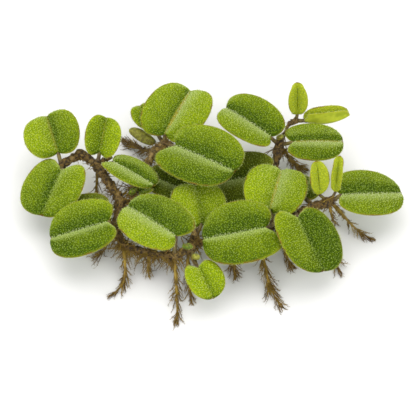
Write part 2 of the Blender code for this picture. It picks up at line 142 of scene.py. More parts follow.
# Rootlets to the millimetre of a rhizome, at its start and its end, and how long they are
ROOTLETS = {
    "rhizome_far_left": (0.6, 1.5),
    "rhizome_left": (3.0, 15.0),
    "rhizome_left_stub": (0.3, 0.3),
    "rhizome_front_left": (17.0, 13.0),
    "rhizome_center": (6.0, 4.0),
    "rhizome_back_left": (9.0, 7.0),
    "rhizome_young_shoot": (0.3, 0.3),
}
ROOTLETS_ELSEWHERE = (2.0, 2.0)
ROOTLET_LENGTHS = (1.0, 1.5, 2.0, 2.8, 3.6, 4.6)

Leaf = namedtuple(
    "Leaf",
    "name node base heading pitch roll length width fold ease bend fresh tint hairs ears tips",
    defaults=("green", 1.0, EARS, TIPS),
)
Stem = namedtuple("Stem", "name start end tint route")
Tassel = namedtuple("Tassel", "name node fullness route")
Bud = namedtuple("Bud", "name middle size heading pitch tint")

# Each node of the rhizomes, where leaves, tassels and side branches grow: (x, y, z, thickness)
NODES = {
    "far_left": (-37.0, 6.8, 7.8, 2.0),
    "left_fork": (-27.9, 6.6, 8.3, 2.6),
    "left": (-21.8, -6.0, 8.2, 2.2),
    "left_front": (-22.5, -13.4, 8.2, 1.9),
    "front_left": (-20.6, -18.2, 6.2, 2.0),
    "front_mid_left": (-14.4, -21.2, 6.6, 1.6),
    "front": (-8.2, -22.8, 7.2, 2.4),
    "center_front": (-4.4, -20.4, 7.2, 2.2),
    "center": (-3.4, -17.8, 7.6, 2.2),
    "back_left": (-11.2, 14.0, 8.2, 2.4),
    "back_arm": (-9.5, 11.8, 10.0, 1.4),
    "back_left_mid": (-16.8, 5.0, 7.0, 1.8),
    "left_bud": (-19.0, -1.6, 7.2, 1.7),
    "back_right": (18.2, 14.0, 8.2, 2.4),
    "right_low": (16.4, 4.4, 4.0, 1.7),
    "right": (16.6, -12.6, 8.0, 2.2),
    "front_right": (12.6, -17.4, 6.6, 1.7),
    "front_mid_right": (5.4, -19.8, 6.4, 1.6),
    "right_mid": (21.6, -10.0, 8.8, 1.8),
    "far_right_mid": (26.4, -7.4, 8.2, 1.9),
    "far_right": (30.2, -5.4, 7.8, 2.4),
    "young": (22.6, 22.0, 8.8, 1.6),
}

# Each leaf: the node it grows from, where its blade starts, which way it points, how it tilts, and its form.
# heading turns from +X towards +Y, pitch lifts the tip, roll lifts the left lobe. fold is how steeply a
# lobe rises beside the midrib, ease how much of that it loses by its rim, and bend how far the tip droops.
# fresh says how pale the green of its left and its right lobe is, partly its own green and partly painted
# light and shade, and hairs how densely the hairs stand.
LEAVES = (
    Leaf(
        "leaf_far_left_back", "far_left", base=(-37.9, 9.2, 10.0), heading=107, pitch=8, roll=-14,
        length=12.5, width=14.8, fold=24, ease=32, bend=8, fresh=(0.98, 0.55),
        ears=(0.08, 0.15),
    ),
    Leaf(
        "leaf_far_left_front", "far_left", base=(-36.8, 4.0, 9.0), heading=-109, pitch=-6, roll=10,
        length=14.0, width=16.5, fold=22, ease=34, bend=6, fresh=(0.6, 0.5),
        ears=(0.2, 0.24), tips=(0.05, 0.03),
    ),
    Leaf(
        "leaf_left_small", "left_fork", base=(-27.4, 8.4, 11.0), heading=77, pitch=34, roll=14,
        length=9.2, width=10.0, fold=36, ease=25, bend=6, fresh=(1.15, 1.35),
        tips=(0.05, 0.0),
    ),
    Leaf(
        "leaf_left_inner", "left_fork", base=(-24.0, 5.6, 10.4), heading=-33, pitch=-4, roll=-14,
        length=12.6, width=10.6, fold=24, ease=34, bend=4, fresh=(0.3, 0.35),
        ears=(0.1, 0.15), tips=(0.03, 0.0),
    ),
    Leaf(
        "leaf_front_left", "left_front", base=(-24.4, -15.4, 11.5), heading=-173, pitch=-14, roll=-5,
        length=14.8, width=16.9, fold=20, ease=34, bend=6, fresh=(0.25, 0.5),
        tips=(0.04, 0.02),
    ),
    Leaf(
        "leaf_front_left_under", "left", base=(-25.6, -8.0, 7.2), heading=-172, pitch=-6, roll=0,
        length=12.0, width=13.0, fold=18, ease=24, bend=6, tint="shaded", hairs=0.5, fresh=(0.6, 0.3),
    ),
    Leaf(
        "leaf_front_center_left", "front", base=(-7.8, -20.3, 11.6), heading=139, pitch=1, roll=2,
        length=16.0, width=17.0, fold=22, ease=34, bend=8, fresh=(0.88, 0.12),
        ears=(0.15, 0.16), tips=(0.0, 0.06),
    ),
    Leaf(
        "leaf_back_left", "back_left", base=(-11.0, 15.2, 10.3), heading=67, pitch=4, roll=-4,
        length=16.6, width=18.0, fold=26, ease=32, bend=4, fresh=(0.65, 0.75),
        ears=(0.12, 0.15), tips=(0.1, 0.07),
    ),
    Leaf(
        "leaf_back_left_small", "back_left", base=(-14.4, 20.2, 9.0), heading=118, pitch=8, roll=0,
        length=7.0, width=7.6, fold=12, ease=20, bend=4, hairs=0.8, fresh=(0.7, 0.7),
    ),
    Leaf(
        "leaf_center_back", "back_arm", base=(-8.2, 9.2, 12.6), heading=-35, pitch=9, roll=8,
        length=18.0, width=18.5, fold=22, ease=34, bend=10, fresh=(0.45, 0.25),
        ears=(0.15, 0.18), tips=(0.04, 0.03),
    ),
    Leaf(
        "leaf_back_middle", "back_right", base=(15.9, 13.2, 11.6), heading=141, pitch=8, roll=3,
        length=14.6, width=16.2, fold=30, ease=32, bend=8, fresh=(0.5, 0.42),
        ears=(0.15, 0.12), tips=(0.03, 0.11),
    ),
    Leaf(
        "leaf_center_under", "right_low", base=(15.0, 4.8, 7.0), heading=-174, pitch=-6, roll=0,
        length=16.5, width=17.5, fold=16, ease=24, bend=6, tint="shaded", hairs=0.5, fresh=(0.4, 0.4),
    ),
    Leaf(
        "leaf_center_right", "right", base=(15.2, -10.1, 9.8), heading=77, pitch=-1, roll=4,
        length=14.6, width=16.2, fold=28, ease=30, bend=6, fresh=(0.98, 0.65),
    ),
    Leaf(
        "leaf_right_back", "back_right", base=(21.4, 12.6, 10.4), heading=5, pitch=-3, roll=-3,
        length=13.0, width=14.0, fold=13, ease=26, bend=4, fresh=(0.32, 0.32),
        tips=(0.01, 0.0),
    ),
    Leaf(
        "leaf_young_back_upright", "young", base=(23.0, 22.5, 10.5), heading=92, pitch=66, roll=0,
        length=8.6, width=7.0, fold=50, ease=12, bend=4, tint="lime", hairs=0.8, fresh=(0.7, 0.7),
        ears=(-0.02, -0.02), tips=(-0.02, -0.02),
    ),
    Leaf(
        "leaf_young_back_folded", "young", base=(24.9, 21.6, 9.2), heading=4, pitch=-28, roll=-12,
        length=12.2, width=8.8, fold=74, ease=10, bend=-58, tint="lime", hairs=0.8, fresh=(0.5, 0.5),
        ears=(0.08, 0.08), tips=(0.04, 0.04),
    ),
    Leaf(
        "leaf_far_right", "far_right", base=(33.0, -4.8, 9.6), heading=13, pitch=-10, roll=0,
        length=16.2, width=15.9, fold=15, ease=22, bend=4, fresh=(0.28, 0.45),
        ears=(0.12, 0.12), tips=(0.0, 0.0),
    ),
    Leaf(
        "leaf_young_right_spoon", "far_right", base=(27.7, -4.7, 9.6), heading=101, pitch=58, roll=6,
        length=8.6, width=6.0, fold=42, ease=20, bend=4, tint="lime", hairs=0.8, fresh=(0.5, 0.5),
        ears=(-0.05, -0.05), tips=(0.0, 0.0),
    ),
    Leaf(
        "leaf_young_right_folded", "far_right", base=(31.7, -4.0, 9.9), heading=80, pitch=62, roll=0,
        length=9.4, width=5.0, fold=62, ease=12, bend=4, tint="lime", hairs=0.8, fresh=(0.5, 0.4),
        ears=(-0.05, -0.05), tips=(-0.02, -0.02),
    ),
    Leaf(
        "leaf_front_right", "right_mid", base=(21.8, -14.4, 12.0), heading=-64, pitch=-18, roll=-14,
        length=15.0, width=16.8, fold=22, ease=34, bend=6, fresh=(0.08, 0.62),
        ears=(0.15, 0.2), tips=(0.05, 0.0),
    ),
    Leaf(
        "leaf_front_center", "right", base=(14.2, -17.4, 11.6), heading=-171, pitch=-3, roll=-6,
        length=15.6, width=19.0, fold=20, ease=40, bend=6, fresh=(0.5, 0.32),
        ears=(0.24, 0.15), tips=(0.05, -0.02),
    ),
    Leaf(
        "leaf_center_small", "center", base=(-1.7, -13.5, 8.4), heading=97, pitch=6, roll=2,
        length=12.4, width=14.0, fold=18, ease=26, bend=4, fresh=(1.15, 0.8),
    ),
    Leaf(
        "leaf_front_small", "center_front", base=(-2.5, -26.8, 7.6), heading=-64, pitch=-16, roll=-6,
        length=8.6, width=10.2, fold=32, ease=32, bend=6, fresh=(1.25, 1.3),
        tips=(0.0, 0.0),
    ),
    Leaf(
        "leaf_bud_round", "left_bud", base=(-17.2, -2.3, 8.0), heading=20, pitch=10, roll=0,
        length=3.4, width=3.6, fold=20, ease=20, bend=4, hairs=0.8, fresh=(0.5, 0.5),
    ),
    Leaf(
        "leaf_center_shaded", "back_left_mid", base=(-14.0, 4.6, 6.2), heading=-25, pitch=-4, roll=0,
        length=12.0, width=11.0, fold=16, ease=20, bend=4, tint="shaded", hairs=0.5, fresh=(0.3, 0.3),
    ),
    Leaf(
        "leaf_right_under", "far_right_mid", base=(23.8, -3.2, 7.2), heading=75, pitch=2, roll=0,
        length=7.0, width=8.0, fold=16, ease=20, bend=4, tint="shaded", hairs=0.5, fresh=(0.3, 0.3),
    ),
)

# How strongly a leaf's midrib shows as a yellow line
RIB_LINES = {
    "leaf_back_left": 0.9,
    "leaf_center_right": 0.8,
    "leaf_left_small": 0.5,
    "leaf_far_left_back": 0.4,
    "leaf_right_back": 0.5,
}

# Each stem: the nodes it starts and ends beside, its bark, and points along its middle as
# (x, y, z, thickness)
RHIZOMES = (
    Stem("rhizome_far_left", None, "left_fork", "bark", (
        (-37.6, 6.2, 7.6, 1.2), NODES["far_left"], (-35.4, 8.2, 8.2, 1.8), (-33.6, 9.3, 8.6, 2.1),
        (-32.2, 9.8, 8.8, 2.3), (-30.6, 8.8, 8.6, 2.0),
    )),
    Stem("rhizome_left", None, None, "bark", (
        (-28.2, 7.6, 8.4, 1.8), NODES["left_fork"], (-26.9, 4.6, 8.0, 2.0), (-25.4, 2.0, 7.8, 1.9),
        (-23.4, -2.0, 8.0, 2.0), NODES["left"], (-22.3, -9.8, 8.4, 1.6), NODES["left_front"],
        (-21.8, -16.2, 7.2, 1.6), NODES["front_left"], (-20.2, -18.9, 5.9, 1.3),
    )),
    Stem("rhizome_left_stub", "left_fork", None, "bark", (
        (-25.4, 8.2, 9.0, 1.3), (-24.4, 8.8, 9.2, 1.2),
    )),
    Stem("rhizome_front_left", "front_left", "front", "bark", (
        (-18.0, -19.6, 6.3, 1.5), (-16.2, -20.5, 6.5, 1.5), NODES["front_mid_left"],
        (-11.4, -22.1, 6.9, 1.6),
    )),
    Stem("rhizome_center", None, None, "tan", (
        (-9.0, -23.0, 7.1, 1.6), NODES["front"], (-6.4, -21.6, 7.2, 1.9), NODES["center_front"],
        NODES["center"], (-3.3, -17.6, 9.6, 1.5), (-3.3, -17.2, 11.0, 1.3),
    )),
    Stem("rhizome_back_left", None, "left", "tan", (
        (-10.5, 14.6, 8.3, 1.6), NODES["back_left"], (-13.2, 12.6, 7.6, 1.9), (-14.8, 9.8, 7.2, 2.1),
        NODES["back_left_mid"], (-18.2, 1.8, 7.0, 1.6), NODES["left_bud"], (-19.2, -4.8, 7.6, 1.2),
    )),
    Stem("rhizome_back_left_arm", "back_left", None, "tan", (
        (-10.2, 12.8, 9.3, 1.4), NODES["back_arm"],
    )),
    Stem("rhizome_right", None, None, "bark", (
        (18.4, 14.8, 8.2, 1.6), NODES["back_right"], (17.6, 11.2, 7.2, 1.9), (16.8, 8.0, 5.4, 1.7),
        NODES["right_low"], (16.0, -1.0, 3.6, 1.6), (16.4, -7.4, 4.8, 1.6), (16.9, -10.6, 6.6, 1.7),
        NODES["right"], (16.6, -13.4, 8.1, 1.5),
    )),
    Stem("rhizome_front_right", "right", "center", "bark", (
        (14.8, -14.8, 7.0, 1.5), NODES["front_right"], (9.0, -19.2, 6.6, 1.6), NODES["front_mid_right"],
        (1.6, -19.4, 6.6, 1.6),
    )),
    Stem("rhizome_far_right", "right", None, "bark", (
        (19.2, -11.2, 8.8, 1.6), NODES["right_mid"], (24.0, -8.6, 8.5, 1.6), NODES["far_right_mid"],
        NODES["far_right"], (31.2, -5.0, 7.8, 1.6),
    )),
    Stem("rhizome_young_shoot", "back_right", None, "tan", (
        (19.6, 17.2, 8.7, 0.9), (20.6, 20.0, 8.8, 0.9), NODES["young"], (23.1, 22.3, 8.8, 1.0),
    )),
)

# The rolled leaf and each bud: its middle, its length, width and height, and how it points
BUDS = (
    Bud("leaf_rolled_back_left", (-16.9, 18.2, 6.8), (7.8, 3.4, 2.8), 150, 8, "olive"),
    Bud("bud_left", (-18.8, -3.2, 9.2), (2.0, 1.6, 1.6), 30, 20, "green"),
    Bud("bud_back_left", (-12.8, 8.6, 8.2), (1.8, 1.4, 1.4), -60, 20, "olive"),
    Bud("bud_right", (18.3, 14.6, 10.2), (1.8, 1.6, 1.5), 10, 20, "olive"),
    Bud("bud_front", (-2.9, -24.3, 8.8), (2.0, 1.7, 1.5), -40, 10, "olive"),
    Bud("bud_cap", (-5.0, -22.0, 10.0), (2.6, 1.8, 1.4), -20, 10, "green"),
)

# Each tassel: the node it hangs from, how densely it branches, and points along its middle as
# (x, y, z, width), out to its tip
TASSELS = (
    Tassel("tassel_far_left", "far_left", 1.0, (
        (-35.8, 5.2, 5.4, 1.8), (-34.4, 3.4, 3.0, 2.4), (-31.2, -1.2, 0.3, 1.0),
    )),
    Tassel("tassel_left", "left_fork", 1.0, (
        (-28.1, 5.2, 5.4, 1.8), (-28.3, 3.2, 2.8, 2.8), (-28.4, -0.8, 0.4, 1.4),
    )),
    Tassel("tassel_back_left", "back_left", 2.2, (
        (-13.4, 15.2, 5.0, 2.0), (-16.6, 17.4, 2.4, 3.2), (-19.6, 20.2, 1.3, 3.8),
        (-22.4, 23.4, 0.4, 2.0),
    )),
    Tassel("tassel_front_left_side", "left_front", 1.0, (
        (-23.4, -13.8, 5.0, 1.8), (-24.8, -15.0, 2.8, 3.4), (-26.4, -16.4, 1.1, 4.0),
        (-28.8, -17.4, 0.3, 1.6),
    )),
    Tassel("tassel_front_left", "front_left", 1.1, (
        (-20.4, -20.2, 4.2, 2.0), (-20.4, -24.6, 1.4, 3.2), (-21.4, -27.2, 0.6, 3.4),
        (-24.2, -29.6, 0.3, 1.0),
    )),
    Tassel("tassel_front_middle_left", "front_mid_left", 1.7, (
        (-14.6, -22.0, 4.4, 4.0), (-14.6, -22.6, 2.4, 5.6), (-14.6, -23.8, 0.6, 5.0),
    )),
    Tassel("tassel_front", "front", 1.2, (
        (-8.0, -24.6, 5.0, 2.4), (-7.7, -28.4, 2.4, 3.2), (-7.5, -34.0, 0.8, 2.8),
        (-7.5, -38.6, 0.3, 1.2),
    )),
    Tassel("tassel_front_branch", "center_front", 1.0, (
        (-5.0, -22.4, 5.0, 1.8), (-4.8, -26.4, 2.2, 2.2), (-4.2, -29.6, 0.8, 2.0),
        (-3.8, -32.2, 0.3, 0.8),
    )),
    Tassel("tassel_front_middle", "front_mid_right", 1.7, (
        (5.8, -20.6, 4.2, 3.4), (6.4, -22.4, 1.8, 8.0), (6.8, -24.6, 0.5, 8.0),
    )),
    Tassel("tassel_front_right", "front_right", 1.25, (
        (13.2, -19.0, 5.2, 2.4), (14.2, -23.6, 2.8, 5.0), (15.4, -28.2, 1.1, 4.8),
        (17.9, -33.8, 0.3, 1.2),
    )),
    Tassel("tassel_front_right_side", "right", 1.2, (
        (17.4, -14.0, 6.2, 1.6), (18.4, -16.2, 3.4, 2.8), (19.6, -18.4, 1.4, 3.2),
        (21.2, -21.0, 0.3, 1.4),
    )),
    Tassel("tassel_right_under", "far_right_mid", 1.7, (
        (27.0, -8.8, 6.0, 1.6), (28.8, -12.4, 3.2, 2.6), (30.8, -17.4, 1.3, 4.4), (32.8, -22.8, 0.4, 4.0),
    )),
    Tassel("tassel_far_right", "far_right", 1.4, (
        (32.2, -6.2, 6.2, 1.8), (35.4, -8.4, 3.2, 2.6), (38.4, -10.0, 1.2, 2.8), (41.2, -11.4, 0.3, 1.0),
    )),
    Tassel("tassel_far_right_short", "far_right", 1.0, (
        (30.6, -6.6, 5.4, 1.6), (31.2, -6.8, 3.0, 2.2), (32.2, -6.4, 0.4, 1.2),
    )),
    Tassel("tassel_back_right", "back_right", 2.3, (
        (19.8, 13.4, 6.0, 2.2), (21.4, 12.9, 3.4, 3.6), (22.8, 12.7, 1.6, 4.0), (25.4, 12.6, 0.3, 2.0),
    )),
)


class Value:
    """One socket of a finish's nodes, on which arithmetic adds Math nodes."""

    def __init__(self, finish, socket):
        self.finish = finish
        self.socket = socket

    def __add__(self, other):
        return self.finish.maths("ADD", self, other)

    def __sub__(self, other):
        return self.finish.maths("SUBTRACT", self, other)

    def __rsub__(self, other):
        return self.finish.maths("SUBTRACT", other, self)

    def __mul__(self, other):
        return self.finish.maths("MULTIPLY", self, other)

    __radd__ = __add__
    __rmul__ = __mul__


class Finish:
    """A material whose nodes are added in code behind one Principled BSDF."""

    def __init__(self, name, constants):
        self.material = bpy.data.materials.new(name)
        self.material.use_nodes = True
        self.tree = self.material.node_tree
        self.shader = self.tree.nodes["Principled BSDF"]
        for socket, value in constants.items():
            self.shader.inputs[socket].default_value = value

    def node(self, kind, settings, inputs, output=0):
        """Adds a node of any kind, set up first and fed after that, and gives one of its outputs."""
        node = self.tree.nodes.new(kind)
        for setting, value in settings.items():
            setattr(node, setting, value)
        for socket, value in inputs.items():
            self.feed(node.inputs[socket], value)
        return Value(self, node.outputs[output])

    def feed(self, socket, value):
        if isinstance(value, Value):
            self.tree.links.new(value.socket, socket)
        else:
            socket.default_value = value

    def maths(self, operation, first, second):
        return self.node("ShaderNodeMath", {"operation": operation}, {0: first, 1: second})

    def mark(self, name):
        """A number that the mesh holds at each point."""
        return self.node("ShaderNodeAttribute", {"attribute_name": name}, {}, "Fac")

    def grain(self, size):
        """Lays a texture out on the piece, in patches about this many millimetres wide."""
        where = self.node("ShaderNodeTexCoord", {}, {}, "Object")
        return {"Vector": where, "Scale": 1 / (size * MM)}

    def speckle(self, size, detail=2.0, roughness=0.5):
        """Noise in patches of a size in millimetres."""
        inputs = {**self.grain(size), "Detail": detail, "Roughness": roughness}
        return self.node("ShaderNodeTexNoise", {}, inputs)

    def cells(self, size):
        """How far it is to the nearest of many scattered points, in units of the size in millimetres."""
        return self.node("ShaderNodeTexVoronoi", {}, self.grain(size), "Distance")

    def rise(self, value, low, high):
        """0 below low and 1 above high, smooth between them."""
        inputs = {"Value": value, "From Min": low, "From Max": high}
        return self.node("ShaderNodeMapRange", {"interpolation_type": "SMOOTHSTEP"}, inputs)

    def blend(self, factor, first, second):
        """A colour between two."""
        return self.node("ShaderNodeMix", {"data_type": "RGBA"}, {0: factor, 6: first, 7: second}, 2)

    def paint(self, colour, roughness=None, height=None, depth=0.1):
        """Feeds the shader a colour, and where given a roughness and a bump, its depth in millimetres."""
        self.feed(self.shader.inputs["Base Color"], colour)
        if roughness is not None:
            self.feed(self.shader.inputs["Roughness"], roughness)
        if height is not None:
            bump = self.node("ShaderNodeBump", {}, {"Distance": depth * MM, "Height": height})
            self.feed(self.shader.inputs["Normal"], bump)
        return self.material


def opaque(colour):
    return (*colour, 1.0)


# Colours by tint: in the gaps between papillae and on them, first where a lobe is dark and then where
# it is fresh. The fresh mark that mixes them is partly each lobe's own green and partly painted light and
# shade
TINTS = {
    "green": ((0.034, 0.066, 0.001), (0.112, 0.182, 0.002), (0.175, 0.255, 0.003), (0.360, 0.460, 0.008)),
    # A darker copy of green for leaves that lie in shade under others: painted shade
    "shaded": ((0.034, 0.052, 0.002), (0.090, 0.125, 0.003), (0.120, 0.150, 0.005), (0.220, 0.260, 0.012)),
    "lime": ((0.285, 0.345, 0.014), (0.440, 0.500, 0.030), (0.430, 0.480, 0.040), (0.640, 0.670, 0.110)),
    "olive": ((0.130, 0.125, 0.010), (0.270, 0.270, 0.026), (0.190, 0.180, 0.022), (0.420, 0.420, 0.090)),
}
# Pale felted hairs beside the crease, laid only on the slope facing the key lamp: partly a painted highlight
FELT_AND_HIGHLIGHT = (0.40, 0.50, 0.16)
RIM_YELLOW = (0.38, 0.38, 0.03)
RIM_BROWN = (0.17, 0.075, 0.018)
TIP_BROWN = (0.14, 0.05, 0.014)
RIB_YELLOW = (0.46, 0.36, 0.03)
UNDERSIDE = (0.24, 0.30, 0.07)
BUD_SCARS = (0.13, 0.085, 0.02)

# Pairs of colours, dark and light, that a speckle mixes
PETIOLE = ((0.055, 0.030, 0.008), (0.150, 0.118, 0.022))
OLIVE_THREADS = ((0.155, 0.098, 0.010), (0.33, 0.225, 0.030))
BROWN_THREADS = ((0.060, 0.031, 0.005), (0.21, 0.124, 0.022))
BROWN_BARK = ((0.011, 0.006, 0.002), (0.150, 0.092, 0.020))
TAN_BARK = ((0.016, 0.009, 0.003), (0.205, 0.135, 0.036))
PAPERY_SKIN = (0.34, 0.235, 0.08)

# Hairs: on lobes painted dark, on lobes painted fresh and lit, in the pale felted band by the crease
# (partly a painted highlight), and their stalks
DARK_HAIRS = (0.34, 0.46, 0.09)
FRESH_AND_LIT_HAIRS = (0.66, 0.75, 0.19)
FELT_AND_HIGHLIGHT_HAIRS = (0.72, 0.78, 0.44)
HAIR_STALKS = (0.18, 0.27, 0.03)
DRY_SCALES = (0.15, 0.09, 0.03)


def blade_finish(tint):
    """The upper side: patchy green papillae on lobes painted partly with light and shade, a yellow rim and a
    brown tip notch.
    """
    gap, papilla, fresh_and_lit_gap, fresh_and_lit_papilla = (opaque(colour) for colour in TINTS[tint])
    finish = Finish(f"{tint}_blade", {"Specular IOR Level": 0.06})
    # The fresh mark is partly each lobe's own green and partly painted light and shade; the speckle adds
    # random patches
    fresh = finish.mark("fresh") + (finish.speckle(4.0, 3.0) - 0.5) * 0.7
    papillae = finish.rise(finish.cells(0.45), 0.65, 0.2)
    fine = finish.speckle(0.25, 2.0, 0.6)
    low, high = finish.blend(fresh, gap, fresh_and_lit_gap), finish.blend(fresh, papilla, fresh_and_lit_papilla)
    colour = finish.blend(papillae, low, high)
    # Pale hairs beside the crease, painted only on the slope facing the key lamp: partly a painted highlight
    colour = finish.blend(finish.mark("felt") * finish.rise(fine, 0.3, 0.65), colour, opaque(FELT_AND_HIGHLIGHT))
    colour = finish.blend(finish.mark("rib"), colour, opaque(RIB_YELLOW))
    colour = finish.blend(finish.mark("rim") * 0.5, colour, opaque(RIM_YELLOW))
    browned = finish.mark("edge") * finish.rise(finish.speckle(2.5), 0.5, 0.65)
    colour = finish.blend(browned, colour, opaque(RIM_BROWN))
    colour = finish.blend(finish.mark("notch"), colour, opaque(TIP_BROWN))
    roughness = finish.speckle(1.2) * 0.2 + 0.55
    return finish.paint(colour, roughness, papillae + fine * 0.5, 0.16)


def underside_finish(tint):
    """The underside: paler and browner, with fine veins."""
    deep, fresh, _, _ = (opaque(colour) for colour in TINTS[tint])
    finish = Finish(f"{tint}_underside", {"Specular IOR Level": 0.12})
    pale = deep if tint == "lime" else opaque(UNDERSIDE)
    colour = finish.blend(finish.rise(finish.speckle(3.0, 3.0), 0.35, 0.65), pale, fresh)
    colour = finish.blend(finish.rise(finish.speckle(0.5), 0.5, 0.8) * 0.4, colour, deep)
    colour = finish.blend(finish.mark("rim") * 0.7, colour, opaque(RIM_YELLOW))
    return finish.paint(colour, 0.65, finish.speckle(0.5), 0.1)


def petiole_finish():
    """The stalk's skin, between brown and olive."""
    finish = Finish("petiole", {"Roughness": 0.6})
    colour = finish.blend(finish.rise(finish.speckle(0.9, 3.0), 0.38, 0.62), *map(opaque, PETIOLE))
    return finish.paint(colour, None, finish.speckle(0.3), 0.08)


def hair_finish():
    """Whisks: green on dark lobes, paler on fresh and painted-lit ones and almost white in the felted band by
    the crease.
    """
    finish = Finish("hair", {"Roughness": 0.5, "Specular IOR Level": 0.25})
    colour = finish.blend(finish.mark("fresh"), opaque(DARK_HAIRS), opaque(FRESH_AND_LIT_HAIRS))
    return finish.paint(finish.blend(finish.mark("felt"), colour, opaque(FELT_AND_HIGHLIGHT_HAIRS)))


def plain_finish(name, colour):
    return Finish(name, {"Roughness": 0.5, "Specular IOR Level": 0.3}).paint(opaque(colour))


def bark_finish(name, colours, dry):
    """Wrinkled rhizome skin: dark in its folds, lighter and papery on its ridges, partly as painted shade and
    highlight.
    """
    finish = Finish(name, {"Specular IOR Level": 0.25})
    folds = finish.speckle(0.7, 5.0, 0.7)
    # The colour follows the bump's noise: partly the bark's mottled browns, partly painted shade in the folds
    # and a painted highlight on the ridges
    colour = finish.blend(finish.rise(folds, 0.40, 0.60), *map(opaque, colours))
    papery = finish.rise(finish.speckle(1.6, 4.0, 0.65), 0.52, 0.66)
    colour = finish.blend(papery * dry, colour, opaque(PAPERY_SKIN))
    roughness = finish.rise(folds, 0.3, 0.6) * 0.3 + 0.4
    return finish.paint(colour, roughness, folds, 0.3)


def tassel_finish():
    """Filaments: golden olive where they are fresh, brown towards their tips."""
    finish = Finish("tassel_threads", {"Roughness": 0.5, "Specular IOR Level": 0.3})
    olive = finish.blend(finish.rise(finish.speckle(1.5, 3.0), 0.35, 0.65), *map(opaque, OLIVE_THREADS))
    brown = finish.blend(finish.rise(finish.speckle(0.8, 3.0), 0.35, 0.65), *map(opaque, BROWN_THREADS))
    return finish.paint(finish.blend(finish.mark("age"), olive, brown))


def bud_finish(tint):
    """Wrapped young leaves: green with brown scars and pale flecks."""
    deep, fresh, _, fleck = (opaque(colour) for colour in TINTS[tint])
    finish = Finish(f"{tint}_bud", {"Roughness": 0.5, "Specular IOR Level": 0.3})
    colour = finish.blend(finish.rise(finish.speckle(0.8, 3.0), 0.35, 0.65), deep, fresh)
    colour = finish.blend(finish.rise(finish.speckle(0.5, 3.0), 0.52, 0.68), colour, opaque(BUD_SCARS))
    colour = finish.blend(finish.rise(finish.speckle(0.3), 0.5, 0.75) * 0.5, colour, fleck)
    return finish.paint(colour, None, finish.speckle(0.3), 0.15)


def place(point, heading, pitch, roll=0):
    """The matrix of a piece at a point, turned by its heading, pitch and roll."""
    turn = Matrix.Rotation(math.radians(heading), 4, "Z")
    turn @= Matrix.Rotation(math.radians(-pitch), 4, "Y")
    turn @= Matrix.Rotation(math.radians(roll), 4, "X")
    return Matrix.Translation(Vector(point) - Vector((*CLUMP_MIDDLE, 0))) @ turn


def moved(matrix, points):
    return points @ np.array(matrix.to_3x3()).T + np.array(matrix.translation)


def turned(matrix, ways):
    return ways @ np.array(matrix.to_3x3()).T


def unit(ways):
    return ways / np.maximum(np.linalg.norm(ways, axis=-1, keepdims=True), 1e-9)


def spot(point):
    """A table's point in the clump's own frame."""
    return np.array(point[:3]) - np.array((*CLUMP_MIDDLE, 0))


class Growth:
    """Points and faces in millimetres that become one object."""

    def __init__(self):
        self.points = []
        self.blocks = []
        self.marks = []
        self.count = 0

    def add(self, points, blocks, finish=0, **marks):
        """Adds points and the faces between them, and numbers that the finish reads at each point."""
        points = points.reshape(-1, 3)
        self.points.append(points)
        self.blocks += [(block + self.count, finish) for block in blocks]
        self.marks.append((self.count, len(points), marks))
        self.count += len(points)

    def add_threads(self, paths, widths, finish=0, flatness=1.0, **marks):
        """Adds threads, with numbers that the finish reads on each whole thread."""
        count, steps, _ = paths.shape
        each = THREAD_SIDES * (steps - 1) + 1
        marks = {mark: np.repeat(np.broadcast_to(value, count), each) for mark, value in marks.items()}
        self.add(*threads(paths, widths, flatness), finish, **marks)

    def make(self, name, slot, finishes, replaced=()):
        """One object of all that was added, which rides on the clump."""
        mesh = bpy.data.meshes.new(name)
        mesh.vertices.add(self.count)
        mesh.vertices.foreach_set("co", (np.concatenate(self.points) * MM).astype(np.float32).ravel())
        corners = np.concatenate([block.ravel() for block, _ in self.blocks])
        sizes = np.concatenate([np.full(len(block), block.shape[1]) for block, _ in self.blocks])
        finish_of = np.concatenate([np.full(len(block), finish) for block, finish in self.blocks])
        mesh.loops.add(len(corners))
        mesh.loops.foreach_set("vertex_index", corners.astype(np.int32))
        mesh.polygons.add(len(sizes))
        mesh.polygons.foreach_set("loop_start", (np.cumsum(sizes) - sizes).astype(np.int32))
        mesh.polygons.foreach_set("material_index", finish_of.astype(np.int32))
        for mark in sorted({key for _, _, marks in self.marks for key in marks}):
            values = np.zeros(self.count, np.float32)
            for start, count, marks in self.marks:
                values[start:start + count] = np.ravel(marks.get(mark, 0))
            mesh.attributes.new(mark, "FLOAT", "POINT").data.foreach_set("value", values)
        mesh.update(calc_edges=True)
        mesh.shade_smooth()
        for finish in finishes:
            mesh.materials.append(finish)
        piece = bpy.data.objects.new(name, mesh)
        bpy.context.collection.objects.link(piece)
        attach(piece, "root")
        for node in replaced:
            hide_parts(node)
        return piece


